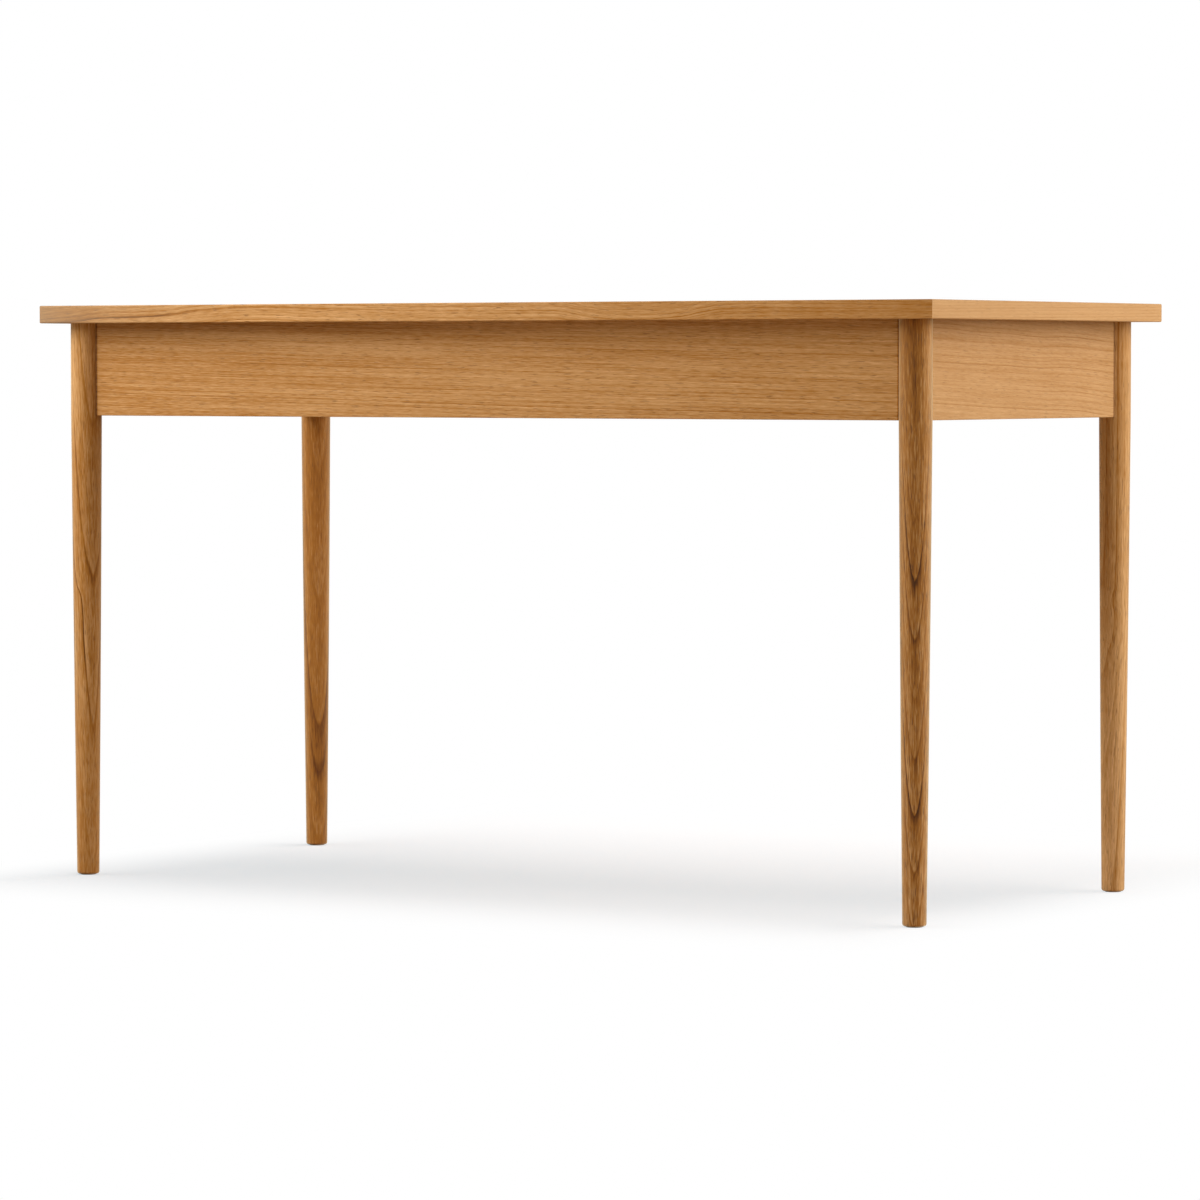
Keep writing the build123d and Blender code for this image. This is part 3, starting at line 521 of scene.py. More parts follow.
off_mark = teak.math("DIVIDE", teak.math("SUBTRACT", radius, board["Marked radius"]), MARK_HALF_WIDTH)
mark_line = teak.math("EXPONENT", teak.product(off_mark, off_mark, -1.0))
inside = teak.math("LESS_THAN", off_mark, 0.0)
approach = teak.math("EXPONENT", teak.product(teak.math("MINIMUM", off_mark, 0.0), DARKENING_RATE))
mark = teak.total(mark_line, teak.product(inside, approach, DARKENING_SHARE))
mark_tone = teak.product(mark, board["Mark strength"])
print("with a marked year:", len(teak.tree.nodes), "nodes")

# %% [markdown]
# ## Teak: streaks, pores and rays
# Between the rings lie streaks of four sizes, from finger-wide bands to single fibres, and a slight shimmer
# across the grain. Pores are short dark dashes, most of them early in a year, and rays are short pale ones.
# Modelled as grooves they would be millions of faces; as noise stretched along the grain they cost a few
# nodes. Each size is given as blotches to the metre, along and across.

# %% Teak streaks
STREAK_GRAINS = {"broad": ((1.2, 42.0, 42.0), 2.0), "middling": ((3.5, 300.0, 300.0), 1.0),
                 "fine": ((11.0, 620.0, 620.0), 1.0)}
STREAK_SHARES = {"broad": 0.26, "middling": 0.24, "fine": 0.32, "fibre": 0.52}
SHIMMER_GRAIN = (24.0, 14.0, 14.0)
PORE_GRAIN = (62.0, 900.0, 900.0)
PORE_CROWDING = 0.05
PORE_RISE = (0.14, 0.22)
RAY_RISE = (-0.13, -0.24)
RAY_SHARE = 0.10

streaks = {"fibre": fibre}
for size, (per_metre, detail) in STREAK_GRAINS.items():
    streaks[size] = teak.noise(own_place, per_metre, detail)
streak_tone = teak.total(*[teak.product(streaks[size], share) for size, share in STREAK_SHARES.items()])
shimmer = teak.product(teak.noise(own_place, SHIMMER_GRAIN, 2.0), board["Shimmer"])
pore_noise = teak.noise(own_place, PORE_GRAIN, 1.0)
crowding = teak.product(teak.rest_of_one(season), PORE_CROWDING)
pores = teak.step(teak.total(pore_noise, crowding), *PORE_RISE)
rays = teak.step(pore_noise, *RAY_RISE)
streak_tone = teak.math("SUBTRACT", streak_tone, teak.product(rays, RAY_SHARE))
print("with streaks, pores and rays:", len(teak.tree.nodes), "nodes")

# %% [markdown]
# ## Teak: from tone to surface
# Painted shade darkens the last millimetres of a board where it is let into its neighbour, and the top of
# one leg beside its apron gets painted shade on one side and painted light on the other. End grain drinks
# more oil. These are added, and the sum becomes a colour. Some pieces are mixed towards a greyer tan: on the
# left apron and left lipping this is a painted sheen, a pale veil of reflected light, and on the back strips
# it greys the far ends. The pores also make the surface duller and give it its relief; with the same gloss
# all over, the wood would look like plastic.

# %% Teak surface
PORE_BROWN = linear(94, 60, 36)
# a pale grey tan: painted sheen on the left apron and lipping, greyer far ends on the back strips
SHEEN_AND_GREY_TAN = linear(176, 161, 135)
EVEN_TONE = 0.34
# how far the painted shade at a board's end reaches into the board, and how dark it gets
JOINT_SHADE_REACH = 0.004
JOINT_SHADE_SHARE = 0.5
END_GRAIN_SHARE = 0.22
PORE_COVER = 0.55
SATIN = 0.46
DULLING = 0.2
FIBRE_RELIEF = 0.5

in_board = teak.add("ShaderNodeSeparateXYZ", {0: board["Place"]}).outputs
# painted shade where a board's end is let into its leg: the last millimetres are darker
to_end = teak.math("SUBTRACT", board["Joint"], teak.math("ABSOLUTE", in_board["X"]))
painted_joint_shade = teak.product(teak.rest_of_one(teak.step(to_end, 0.0, JOINT_SHADE_REACH)), JOINT_SHADE_SHARE)
# painted shade on one side of a leg and painted light on the other, growing across it
painted_side_shade = teak.product(in_board["Y"], board["Side shade"])
end_tone = teak.product(board["End grain"], END_GRAIN_SHARE)
tone = teak.total(EVEN_TONE, board["Tone"], painted_side_shade, ring_tone, shimmer, mark_tone, painted_joint_shade, end_tone,
                  teak.product(streak_tone, board["Streaks"]))
pore_cover = teak.product(pores, PORE_COVER, board["Streaks"])
porous = teak.mix(pore_cover, teak.ramp(tone, TEAK_STOPS), PORE_BROWN)
# the grey tan mixed in: a painted sheen on the left apron and lipping, greyer far ends on the back strips
teak.feed(teak_result["Colour"], teak.mix(board["Bleach"], porous, SHEEN_AND_GREY_TAN))
dulled = teak.total(SATIN, teak.product(pores, DULLING), teak.product(streaks["middling"], DULLING))
teak.feed(teak_result["Roughness"], dulled)
teak.feed(teak_result["Height"], teak.math("SUBTRACT", teak.product(fibre, FIBRE_RELIEF), pores))
print("teak group:", len(teak.tree.nodes), "nodes")

# %% [markdown]
# ## From group to finish
# A finish is one material that knows a piece's place in the log. The oil on this desk leaves a soft satin
# surface, so the shader has little reflection, and the pores are a relief of less than a tenth of a
# millimetre. Turned legs look paler towards their edges, which the shader's sheen gives. What is the same
# all over goes straight onto the shader's own sockets, so that it survives an export.

# %% Wood finish
PORE_DEPTH = 0.00008
OIL_REFLECTION = 0.02
SHEEN_SPREAD = 0.46
SHEEN_TINT = (1.0, 1.0, 0.75, 1.0)
WHOLE_BOARD = 4.0
NO_JOINT_SHADE = 9.0
AS_SAWN = {
    "Lean": 0.0, "Sweep": 0.0, "Bend": 0.0, "Flute": 0.0, "Leaf": WHOLE_BOARD, "Seed": 0.0,
    "Ring width": 0.003, "Ring strength": 0.5, "Suddenness": 3.5, "First year": 0.0, "Unevenness": 1.7,
    "Wander": 0.004, "Wander length": 2.0, "Streaks": 1.0, "Shimmer": 0.10, "Tone": 0.0, "Side shade": 0.0,
    "Marked radius": 0.0, "Mark strength": 0.0, "Joint": NO_JOINT_SHADE, "Bleach": 0.0,
}


def coat(bench, height, depth, sockets):
    """Ends a material in a surface with these sockets and a relief of this depth in metres."""
    relief = bench.add("ShaderNodeBump", {"Height": height, "Distance": depth}).outputs[0]
    surface = bench.add("ShaderNodeBsdfPrincipled", {"Normal": relief, **sockets}).outputs[0]
    bench.add("ShaderNodeOutputMaterial", {"Surface": surface})


def wood_finish(name, wood, middle, grain, heart, distance, sheen=0.0, **look):
    """A material of the named wood for a piece that sat like this in the log.

    A look is a number, or a list of (metres from the middle along the grain, number).
    """
    material, bench = new_material(name)
    sat = bench.add("ShaderNodeGroup", node_tree=bpy.data.node_groups["place_in_log"])
    timber = bench.add("ShaderNodeGroup", node_tree=bpy.data.node_groups[wood])
    seat = {"Middle": middle, "Grain": grain, "Heart": heart, "Heart distance": distance}
    for socket, value in seat.items():
        bench.feed(sat.inputs[socket], value)
    for socket in LOG_RESULTS:
        bench.feed(timber.inputs[socket], sat.outputs[socket])
    for socket, value in {**AS_SAWN, **look}.items():
        if isinstance(value, list):
            from_middle = bench.vector("SUBTRACT", bench.desk_place(), middle)
            value = bench.curve(bench.vector("DOT_PRODUCT", from_middle, grain), value)
        for group in (sat, timber):
            if socket in group.inputs:
                bench.feed(group.inputs[socket], value)
    coat(bench, timber.outputs["Height"], PORE_DEPTH, {
        "Base Color": timber.outputs["Colour"], "Roughness": timber.outputs["Roughness"],
        "Specular IOR Level": OIL_REFLECTION,
        "Sheen Weight": sheen, "Sheen Roughness": SHEEN_SPREAD, "Sheen Tint": SHEEN_TINT})
    return material


print("a finish starts from", len(AS_SAWN), "values")

# %% [markdown]
# ## Turned legs
# Each leg was turned from its own square of solid teak, so each shows another figure. Where the heart lies
# behind the leg and leans against the lathe's axis, the turning cuts the rings into nested points, as on
# the near leg. A fluted trunk makes such points sharper, and a heart beside the leg gives plain long lines.
# Lines could be drawn on each leg instead, but only rings in the log meet all the way round. The heart's
# direction is a turn in degrees from the camera's towards the right of the picture, and the lean is in
# metres to the metre. The first year and the marked radius put the strong lines where the real legs have
# them.

# %% Leg finishes
LEG_BLANKS = {
    "leg_back_left": {
        "turn": 176.0, "distance": 0.019, "sheen": 1.0, "Seed": 3.0, "Streaks": 1.25,
        "Lean": -0.0242, "Flute": -0.04, "Wander": 0.0008, "Unevenness": 0.0,
        "Ring width": 0.00238, "First year": 42.60, "Suddenness": 5.0,
        "Ring strength": [(0.06, 0.68), (0.20, 0.35), (0.26, 0.15)],
        "Tone": [(-0.36, 0.105), (-0.15, 0.155), (0.36, 0.185)],
        "Marked radius": [(0.2, 0.0438), (0.363, 0.0491)],
        "Mark strength": [(0.22, 0.0), (0.30, 0.25), (0.363, 0.7)],
    },
    "leg_back_right": {
        "turn": 211.0, "distance": 0.016, "sheen": 0.6, "Seed": 8.0, "Streaks": 0.85,
        "Lean": -0.042, "Wander": 0.003, "Unevenness": 0.0,
        "Flute": [(-0.18, -0.36), (-0.06, -0.38), (-0.01, -0.46), (0.02, -0.20), (0.06, -0.05)],
        "Ring width": 0.0104, "First year": 91.57, "Suddenness": 14.0,
        "Ring strength": [(-0.20, 0.25), (-0.10, 0.7), (-0.04, 1.5), (0.0, 1.2), (0.05, 0.9)],
        # the top of this leg, beside its apron, gets painted shade on one side and painted light on the
        # other
        "Tone": 0.145, "Side shade": [(0.20, 0.0), (0.25, -8.0)],
    },
    "leg_front_right": {
        "turn": 196.0, "distance": 0.026, "sheen": 0.9, "Seed": 5.0, "Streaks": 0.8,
        "Lean": -0.040, "Wander": 0.004, "Unevenness": 0.0,
        "Ring width": 0.0085, "First year": 15.83, "Ring strength": 0.38, "Tone": 0.20,
        "Marked radius": 0.0317,
        "Mark strength": [(-0.33, 0.0), (-0.28, 0.16), (-0.25, 0.22), (-0.2, 0.08), (-0.15, 0.0)],
    },
    "leg_front_left": {
        "turn": 110.0, "distance": 0.024, "sheen": 0.5, "Seed": 12.0, "Streaks": 0.8,
        "Wander": 0.003, "Ring width": 0.0060, "Ring strength": 0.28,
        "Bend": [(-0.36, 0.018), (-0.06, 0.004), (-0.01, 0.0), (0.01, 0.002), (0.03, 0.0), (0.36, -0.001)],
        "Tone": [(-0.36, -0.07), (0.0, -0.05), (0.05, 0.0), (0.36, 0.0)],
    },
}


def middle_of(piece):
    low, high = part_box(piece)
    return (low + high) / 2.0


def dress(piece, material):
    mesh = nodes[piece].data
    mesh.materials.clear()
    mesh.materials.append(material)


for leg, blank in LEG_BLANKS.items():
    look = dict(blank)
    turn = math.radians(look.pop("turn"))
    heart = to_camera * math.cos(turn) + picture_right * math.sin(turn)
    dress(leg, wood_finish(leg + "_teak", "teak", middle_of(leg), straight_up, heart, **look))
    print(leg, "heart towards", [round(part, 2) for part in heart])

# %% [markdown]
# ## Lippings round the top
# A lipping is a strip of solid teak glued round the veneered board and mitred at the corners. The back one
# was sawn with the rings nearly level, and they rise and fall in slow waves along it; one dark year climbs
# from the lower edge at the far end, which is greyer. Chance would never put those waves in the right
# place, so the line of that year is given as a list: metres along the strip, and metres that the rings sink
# there. The end strips are paler and plainer, and the left one is greyed by a painted sheen, a pale veil of
# reflected light.

# %% Lipping finishes
X_AXIS = Vector((1.0, 0.0, 0.0))
Y_AXIS = Vector((0.0, 1.0, 0.0))
BACK_STRIP_LINE = [
    (-0.670, 0.0020), (-0.510, 0.0), (-0.410, -0.0007), (-0.356, 0.0030), (-0.300, 0.0104), (-0.240, 0.0120),
    (-0.190, 0.0092), (-0.160, 0.0041), (-0.120, 0.0012), (0.020, 0.0012), (0.130, -0.0016),
    (0.240, -0.0046), (0.318, -0.0065), (0.380, -0.0043), (0.418, -0.0020), (0.458, 0.0024),
    (0.508, 0.0046), (0.560, 0.0054), (0.604, 0.0095), (0.670, 0.014),
]
LIPPINGS = {
    "top_lipping_back": {
        "grain": X_AXIS, "heart": straight_up, "distance": 0.30, "Seed": 2.0,
        "Bend": BACK_STRIP_LINE, "Wander": 0.004, "Ring width": 0.0055, "Marked radius": 0.30,
        "Ring strength": [(-0.67, 0.2), (-0.45, 0.2), (-0.25, 0.4), (0.67, 0.4)],
        "Streaks": [(-0.67, 0.6), (-0.2, 0.9)],
        "Tone": [(-0.67, 0.10), (-0.45, 0.05), (-0.2, 0.0), (0.1, -0.05), (0.4, -0.03), (0.52, 0.0),
                 (0.59, 0.14), (0.67, 0.25)],
        "Mark strength": [(-0.67, 0.0), (0.30, 0.08), (0.38, 0.12), (0.42, 0.24), (0.455, 0.36),
                          (0.50, 0.52), (0.57, 0.45), (0.62, 0.32), (0.67, 0.25)],
        "Bleach": [(0.3, 0.0), (0.5, 0.14), (0.67, 0.42)],
    },
    "top_lipping_front": {
        "grain": X_AXIS, "heart": Vector((0.0, -0.6, -0.8)), "distance": 0.14, "Seed": 6.0,
        "Lean": 0.01, "Wander": 0.020, "Wander length": 2.4, "Ring width": 0.005, "Ring strength": 0.5,
    },
    "top_lipping_left": {
        "grain": Y_AXIS, "heart": straight_up, "distance": 0.30, "Seed": 9.0,
        "Lean": 0.012, "Wander": 0.003, "Ring width": 0.004, "Ring strength": 0.12,
        # this strip's greying is a painted sheen, a pale veil of reflected light
        "Streaks": 0.3, "Shimmer": 0.05, "Tone": -0.01, "Bleach": 0.17,
    },
    "top_lipping_right": {
        "grain": Y_AXIS, "heart": Vector((0.3, 0.0, 0.954)), "distance": 0.25, "Seed": 4.0,
        "Lean": -0.015, "Wander": 0.004, "Ring width": 0.004, "Ring strength": 0.2,
        "Streaks": 0.6, "Tone": -0.06,
    },
}
for strip, sawn_like in LIPPINGS.items():
    dress(strip, wood_finish(strip + "_teak", "teak", middle_of(strip), **sawn_like))
print("lippings:", len(LIPPINGS))

# %% [markdown]
# ## Veneered top
# The top between the lippings is covered with leaves of veneer, sliced one after another from one block and
# opened like the pages of a book, so the figure is mirrored at each joint. Mirrored pictures would do it
# too, but they would all be the same leaf. Folding the distance across the board mirrors the figure in the
# shader, and each leaf is cut a little deeper into the log than the last.

# %% Top finish
LEAF_WIDTH = 0.140
TOP_LEAVES = {"Leaf": LEAF_WIDTH, "Lean": 0.012, "Sweep": 0.02, "Seed": 1.0, "Ring width": 0.0042,
              "Ring strength": 0.5, "Wander": 0.022, "Wander length": 1.6}
first_leaf = middle_of("top_panel") + Y_AXIS * LEAF_WIDTH / 2
top_finish = wood_finish("top_veneer", "teak", first_leaf, X_AXIS, -straight_up, distance=0.11, **TOP_LEAVES)
dress("top_panel", top_finish)
low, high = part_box("top_panel")
print("veneer leaves across the top:", math.ceil((high.y - low.y) / LEAF_WIDTH))

# %% [markdown]
# ## Aprons
# The aprons are boards faced with straight veneer. On the back one the years lie level, so it shows fine
# lines that sink slowly to the right; on the end ones they wave more and are fainter, with a slight shimmer
# across the grain, and the left one is greyed by a painted sheen, a pale veil of reflected light. A shadow
# could be modelled where a board meets its leg; instead it is painted shade, and the last millimetres of
# each end are darker.

# %% Apron finishes
LET_INTO_LEG = 0.001
APRONS = {
    "back_apron": {
        "grain": X_AXIS, "heart": straight_up, "distance": 0.42, "Seed": 7.0,
        "Lean": -0.021, "Wander": 0.008, "Wander length": 1.6, "Ring width": 0.0060, "Ring strength": 0.28,
        "Suddenness": 8.0, "Streaks": 0.9, "Shimmer": 0.04,
        "Tone": [(-0.6, 0.02), (0.2, 0.05), (0.6, 0.10)], "Bleach": [(-0.6, 0.02), (0.6, 0.07)],
    },
    "left_apron": {
        "grain": Y_AXIS, "heart": straight_up, "distance": 0.30, "Seed": 10.0,
        "Lean": -0.036, "Wander": 0.012, "Wander length": 5.0, "Ring width": 0.0060, "Ring strength": 0.26,
        # this apron's greying is a painted sheen, a pale veil of reflected light
        "Streaks": 0.54, "Shimmer": 0.08, "Tone": 0.05, "Bleach": 0.17,
    },
    "right_apron": {
        "grain": Y_AXIS, "heart": straight_up, "distance": 0.30, "Seed": 15.0,
        "Lean": 0.03, "Wander": 0.005, "Wander length": 4.0, "Ring width": 0.0060, "Ring strength": 0.18,
        "Streaks": 0.6, "Tone": -0.04,
    },
}
for apron, sawn_like in APRONS.items():
    low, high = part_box(apron)
    # the painted shade at each end starts this far from the board's middle
    half_length = abs((high - low).dot(sawn_like["grain"])) / 2 - LET_INTO_LEG
    dress(apron, wood_finish(apron + "_veneer", "teak", middle_of(apron), Joint=half_length, **sawn_like))
    print(apron, "shows", round(2 * half_length, 3), "m between its legs")

# %% [markdown]
# ## Front frame and drawer fronts
# The three drawer fronts are sawn from one board, so the figure runs on from one to the next across the
# front; giving all three the same middle in the log does just that. With a middle each, every front would
# show the same figure again. The rails and uprights round them are separate sticks, each with its grain
# along its length.

# %% Front finishes
DRAWERS = ("left", "centre", "right")
DRAWER_FRONT_BOARD = {"grain": X_AXIS, "heart": Vector((0.0, 0.94, 0.34)), "distance": 0.075, "Seed": 11.0,
                      "Lean": 0.016, "Wander": 0.022, "Wander length": 2.2, "Ring width": 0.0045,
                      "Ring strength": 0.5}
FRONT_STICKS = {"front_top_rail": X_AXIS, "front_bottom_rail": X_AXIS, "left_end_stile": straight_up,
                "left_divider": straight_up, "right_divider": straight_up, "right_end_stile": straight_up}
STICK_LOOK = {"distance": 0.18, "Lean": 0.01, "Ring strength": 0.4, "Ring width": 0.0035, "Wander": 0.006}
STICK_SEEDS = {"start": 20.0, "step": 3.0}

board_middle = middle_of("centre_drawer_front")
fronts_finish = wood_finish("drawer_fronts_teak", "teak", board_middle, **DRAWER_FRONT_BOARD)
for drawer in DRAWERS:
    dress(drawer + "_drawer_front", fronts_finish)

for seed, (stick, grain) in zip(count(**STICK_SEEDS), FRONT_STICKS.items()):
    heart = straight_up if grain is X_AXIS else X_AXIS
    finish = wood_finish(stick + "_teak", "teak", middle_of(stick), grain, heart, Seed=seed, **STICK_LOOK)
    dress(stick, finish)
print("front pieces:", len(DRAWERS) + len(FRONT_STICKS))

# %% [markdown]
# ## Turned knobs
# A small knob is turned along the grain, so its domed face is end grain, darker and with the rings as small
# arcs. A disc of another colour could be put on its face, but the log group knows which faces cut the
# fibres, so this comes for nothing.

# %% Knob finishes
KNOB_LOOK = {"distance": 0.03, "Ring strength": 0.6, "Ring width": 0.0028, "Wander": 0.002}
KNOB_SEEDS = {"start": 31.0, "step": 2.0}

for seed, drawer in zip(count(**KNOB_SEEDS), DRAWERS):
    knob = drawer + "_drawer_knob"
    where = (middle_of(knob), Y_AXIS, straight_up)
    dress(knob, wood_finish(knob + "_teak", "teak", *where, Seed=seed, **KNOB_LOOK))
print("knobs:", len(DRAWERS))

# %% [markdown]
# ## Beech
# The parts that nobody sees until a drawer is opened are beech: pale, pinkish and close grained, with faint
# rings and thousands of small brown flecks where the rays come to the surface. Pale teak would pass at a
# glance, but not with a drawer open beside its front. The recipe keeps the same log and replaces teak's
# pores by these lens-shaped flecks.

# %% Beech group
BEECH_STOPS = [
    (0.00, linear(232, 202, 166)),
    (0.45, linear(219, 182, 140)),
    (0.80, linear(196, 152, 108)),
    (1.00, linear(166, 118, 78)),
]
BEECH_SHIFT = (2.9, 1.7, 3.3)
BEECH_WANDER_GRAIN = (2.5, 9.0, 9.0)
BEECH_SUDDENNESS = 3.0
BEECH_FIBRE_GRAIN = (22.0, 700.0, 700.0)
BEECH_BAND_GRAIN = (1.6, 30.0, 30.0)
BEECH_INPUTS = ("Seed", "Ring width", "Ring strength", "Wander", "Tone")

beech, plank, beech_result, own_place = new_wood("beech", BEECH_SHIFT, BEECH_INPUTS)
wander = beech.product(beech.noise(own_place, BEECH_WANDER_GRAIN, 1.0), plank["Wander"])
ring = beech.math("DIVIDE", beech.total(plank["Radius"], wander), plank["Ring width"])
late = beech.math("POWER", beech.math("FRACT", ring), BEECH_SUDDENNESS)
ring_tone = beech.product(late, plank["Ring strength"])
fibre = beech.noise(own_place, BEECH_FIBRE_GRAIN, 2.0)
bands = beech.noise(own_place, BEECH_BAND_GRAIN, 2.0)
print("beech rings and fibres:", len(beech.tree.nodes), "nodes")

# %% [markdown]
# ## Beech: flecks and surface
# A fleck is a ray seen from its side: short along the grain, thin across it. One noise with three different
# sizes makes them all, and a soft step leaves only its peaks. Scattering thousands of small meshes would be
# heavier and would lie on the wood instead of in it. Beech is left bare, so it is duller than the teak.

# %% Beech surface
FLECK_BROWN = linear(160, 108, 70)
FLECK_GRAIN = (210.0, 1500.0, 420.0)
FLECK_RISE = (0.14, 0.22)
FLECK_COVER = 0.55
FLECK_RELIEF = 0.3
BEECH_TONE = 0.38
BEECH_SHARES = {"fibre": 0.25, "bands": 0.5, "end": 0.25}
BARE_BEECH = 0.56

flecks = beech.step(beech.noise(own_place, FLECK_GRAIN, 0.0), *FLECK_RISE)
tone = beech.total(BEECH_TONE, plank["Tone"], ring_tone, beech.product(fibre, BEECH_SHARES["fibre"]),
                   beech.product(bands, BEECH_SHARES["bands"]),
                   beech.product(plank["End grain"], BEECH_SHARES["end"]))
pale = beech.ramp(tone, BEECH_STOPS)
beech.feed(beech_result["Colour"], beech.mix(beech.product(flecks, FLECK_COVER), pale, FLECK_BROWN))
beech.feed(beech_result["Roughness"], beech.total(BARE_BEECH, beech.product(fibre, DULLING)))
beech.feed(beech_result["Height"], beech.math("SUBTRACT", fibre, beech.product(flecks, FLECK_RELIEF)))
print("beech group:", len(beech.tree.nodes), "nodes")

# %% [markdown]
# ## Drawer sides and backs
# Each drawer is a beech box dovetailed behind its teak front. The sides run front to back with the grain,
# and the back runs across. One finish could serve all nine boards, but every board gets its own seed, so
# that no two are alike when two drawers stand open.

# %% Drawer boxes
BEECH_LOOK = {"Lean": 0.012, "Ring width": 0.0042, "Ring strength": 0.16, "Wander": 0.010}
BOX_BOARDS = {"left_side": (Y_AXIS, X_AXIS, 0.09), "right_side": (Y_AXIS, -X_AXIS, 0.08),
              "back": (X_AXIS, Y_AXIS, 0.10)}
BOX_SEEDS = {"start": 1.0, "step": 5.0}


def dress_in_beech(piece, grain, heart, distance, seed):
    where = (middle_of(piece), grain, heart, distance)
    dress(piece, wood_finish(piece + "_beech", "beech", *where, Seed=seed, **BEECH_LOOK))


for first_seed, drawer in zip(count(**BOX_SEEDS), DRAWERS):
    for seed, (board_name, sawn_like) in zip(count(first_seed), BOX_BOARDS.items()):
        dress_in_beech(drawer + "_drawer_" + board_name, *sawn_like, seed)
print("beech drawer boards:", len(BOX_BOARDS) * len(DRAWERS))

# %% [markdown]
# ## Frame inside the desk
# Runners, kickers, corner blocks, stops and dowels are beech as well. They could be dressed one by one, but
# a run of pieces that differ only in name and direction is better as one table and one loop.

# %% Hidden beech
RUNNER_PLACES = ("left_end", "left_centre", "right_centre", "right_end")
CORNERS = ("front_left", "front_right", "back_left", "back_right")
HIDDEN_HEART = 0.07
HIDDEN_SEEDS = {"start": 40.0, "step": 2.0}

hidden_beech = {}
for spot in RUNNER_PLACES:
    hidden_beech[spot + "_runner"] = Y_AXIS
    hidden_beech[spot + "_kicker"] = Y_AXIS
for corner in CORNERS:
    hidden_beech["corner_block_" + corner] = X_AXIS
for piece_group in ("joint_dowels", "opening_stops", "closing_stops"):
    hidden_beech[piece_group] = X_AXIS
for seed, (piece, grain) in zip(count(**HIDDEN_SEEDS), hidden_beech.items()):
    dress_in_beech(piece, grain, straight_up, HIDDEN_HEART, seed)
print("hidden beech pieces:", len(hidden_beech))

# %% [markdown]
# ## Plywood drawer bottoms
# A drawer bottom is thin birch plywood. Its face is peeled from the log like paper off a roll, so the rings
# come out as broad pale clouds. Rings in the log would be too straight for that, so the clouds are contours
# of a slow noise, as on a map.

# %% Plywood face
PLY_STOPS = [
    (0.00, linear(240, 220, 186)),
    (0.50, linear(230, 204, 164)),
    (1.00, linear(206, 172, 128)),
]
PLY_SHIFT = (1.9, 2.7, 0.0)
CLOUD_GRAIN = (2.4, 9.0, 0.0)
CONTOURS = 9.0
CONTOUR_SUDDENNESS = 2.5
PLY_FIBRE_GRAIN = (26.0, 620.0, 0.0)
PLY_TONE = 0.36
PLY_SHARES = {"contour": 0.35, "fibre": 0.4, "cloud": 0.4}

birch, _, birch_result, own_place = new_wood("birch_ply", PLY_SHIFT, ("Seed",))
cloud = birch.noise(own_place, CLOUD_GRAIN, 2.0)
contour = birch.math("POWER", birch.math("FRACT", birch.product(cloud, CONTOURS)), CONTOUR_SUDDENNESS)
fibre = birch.noise(own_place, PLY_FIBRE_GRAIN, 2.0)
tone = birch.total(PLY_TONE, birch.product(contour, PLY_SHARES["contour"]),
                   birch.product(fibre, PLY_SHARES["fibre"]), birch.product(cloud, PLY_SHARES["cloud"]))
face = birch.ramp(tone, PLY_STOPS)
print("plywood face:", len(birch.tree.nodes), "nodes")

# %% [markdown]
# ## Plywood edges
# Only its edge shows that plywood is a stack of thin layers with dark glue between them. Separate sheets
# could be stacked, but the height of a point is enough to tell which layer it is in, and the direction of
# the face tells whether it is an edge.

# %% Plywood surface
PLY_GLUE = linear(150, 112, 76)
PLY_LAYER = 0.001
GLUE_WIDTH = 0.00025
EDGE_FACING = (0.4, 0.6)
BARE_BIRCH = 0.58
PLY_HEART = 0.2

texture = birch.add("ShaderNodeTexCoord").outputs
level = birch.vector("DOT_PRODUCT", texture["Object"], straight_up)
glue_line = birch.rest_of_one(birch.step(birch.math("PINGPONG", level, PLY_LAYER), 0.0, GLUE_WIDTH))
facing_up = birch.math("ABSOLUTE", birch.vector("DOT_PRODUCT", texture["Normal"], straight_up))
on_edge = birch.rest_of_one(birch.step(facing_up, *EDGE_FACING))
birch.feed(birch_result["Colour"], birch.mix(birch.product(glue_line, on_edge), face, PLY_GLUE))
birch.feed(birch_result["Roughness"], birch.total(BARE_BIRCH, birch.product(fibre, DULLING)))
birch.feed(birch_result["Height"], fibre)
for seed, drawer in zip(count(1.0), DRAWERS):
    bottom = drawer + "_drawer_bottom"
    where = (middle_of(bottom), X_AXIS, straight_up, PLY_HEART)
    dress(bottom, wood_finish(bottom + "_ply", "birch_ply", *where, Seed=seed))
print("plywood bottoms:", len(DRAWERS))

# %% [markdown]
# ## Zinc-plated steel
# Bolts, washers, nuts and screws are bright zinc: a bluish metal with a faint cloudy bloom and fine turning
# marks. Grey paint would look dead here. Metal takes its look from what it reflects, so the colour hardly
# varies and the roughness does.

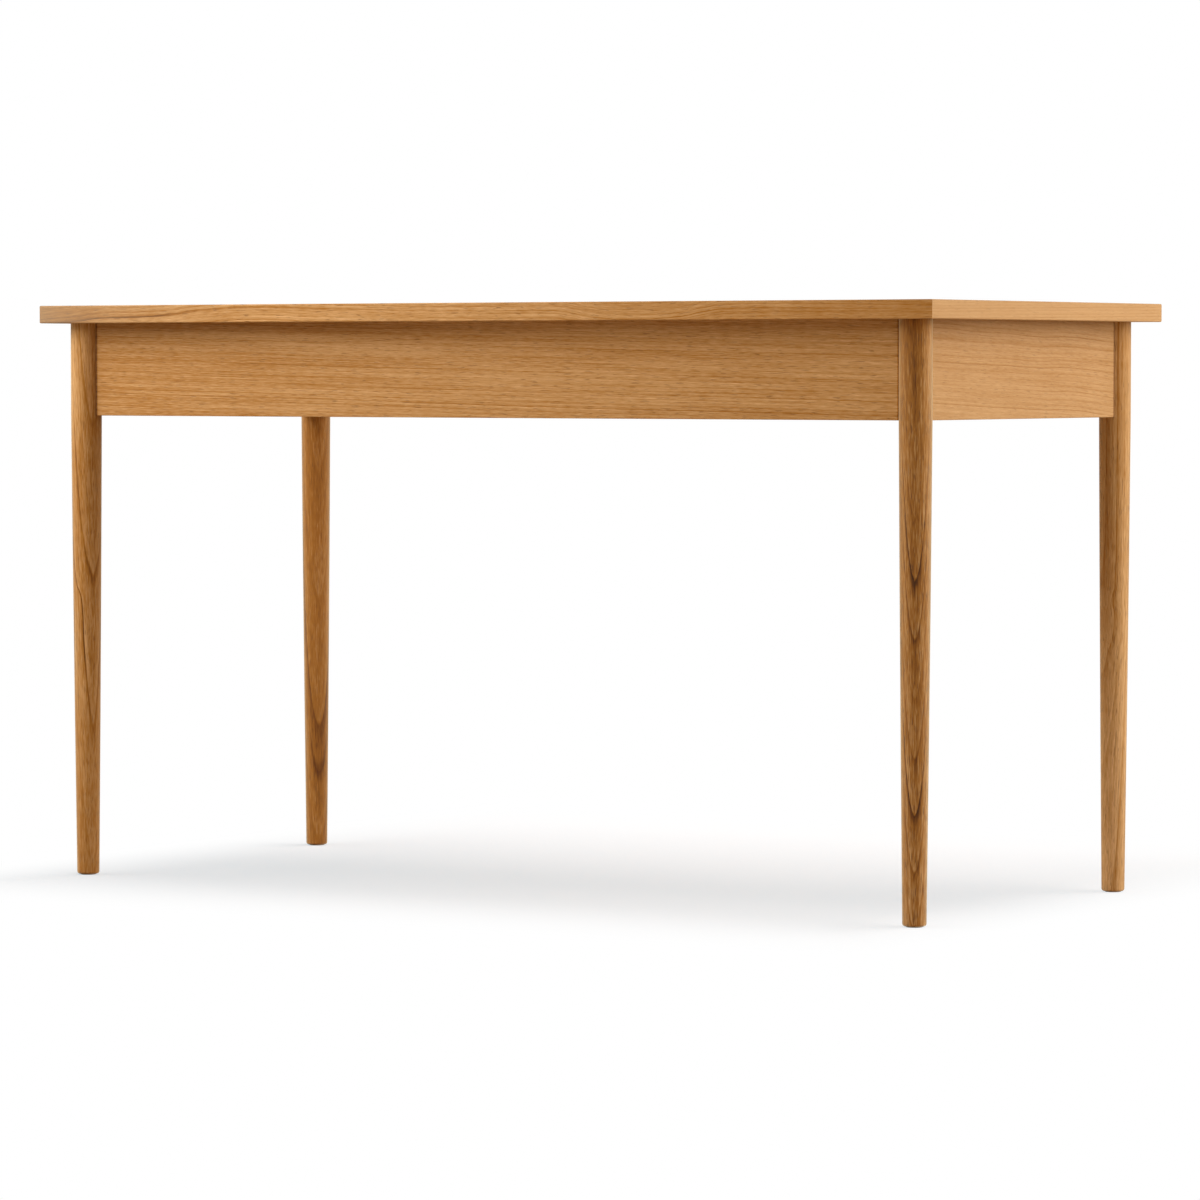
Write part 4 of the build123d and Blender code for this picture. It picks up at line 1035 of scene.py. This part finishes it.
# %% Hardware finish
ZINC_BRIGHT = linear(206, 209, 212)
ZINC_BLOOM = linear(184, 180, 168)
BLOOM_GRAIN = (420.0, 420.0, 420.0)
BLOOM_RISE = (-0.1, 0.25)
TURNING_GRAIN = (900.0, 900.0, 4200.0)
ZINC_ROUGHNESS = 0.34
ZINC_SHARES = {"bloom": 0.35, "marks": 0.15}
TURNING_DEPTH = 0.00004

zinc, plating = new_material("zinc_steel")
place = plating.desk_place()
bloom = plating.noise(place, BLOOM_GRAIN, 3.0)
marks = plating.noise(place, TURNING_GRAIN, 1.0)
colour = plating.mix(plating.step(bloom, *BLOOM_RISE), ZINC_BRIGHT, ZINC_BLOOM)
rough = plating.total(ZINC_ROUGHNESS, plating.product(bloom, ZINC_SHARES["bloom"]),
                      plating.product(marks, ZINC_SHARES["marks"]))
coat(plating, marks, TURNING_DEPTH, {"Base Color": colour, "Roughness": rough, "Metallic": 1.0})
steel_pieces = ["hanger_bolts", "bolt_washers", "bolt_nuts", "block_screws", "top_screws"]
steel_pieces += [drawer + "_drawer_knob_screw" for drawer in DRAWERS]
for piece in steel_pieces:
    dress(piece, zinc)
print("steel pieces:", len(steel_pieces))

# %% [markdown]
# ## Nylon glides
# Under each foot is a thin tan nylon glide that keeps the end grain off the floor. Moulded nylon is slightly
# cloudy and has a soft gloss. Light could be let into it, but a glide shows only as a thin line, so a gentle
# mottle is enough.

# %% Glide finish
NYLON_TAN = linear(172, 150, 122)
NYLON_PALE = linear(192, 172, 146)
MOTTLE_GRAIN = (600.0, 600.0, 600.0)
MOTTLE_RISE = (-0.2, 0.2)
NYLON_ROUGHNESS = 0.5
MOTTLE_SHARE = 0.3
MOTTLE_DEPTH = 0.00003

nylon, moulding = new_material("glide_nylon")
mottle = moulding.noise(moulding.desk_place(), MOTTLE_GRAIN, 3.0)
colour = moulding.mix(moulding.step(mottle, *MOTTLE_RISE), NYLON_TAN, NYLON_PALE)
rough = moulding.total(NYLON_ROUGHNESS, moulding.product(mottle, MOTTLE_SHARE))
coat(moulding, mottle, MOTTLE_DEPTH, {"Base Color": colour, "Roughness": rough})
dress("foot_glides", nylon)
print("glides: four, in one piece group")

# %% [markdown] ## The finished desk
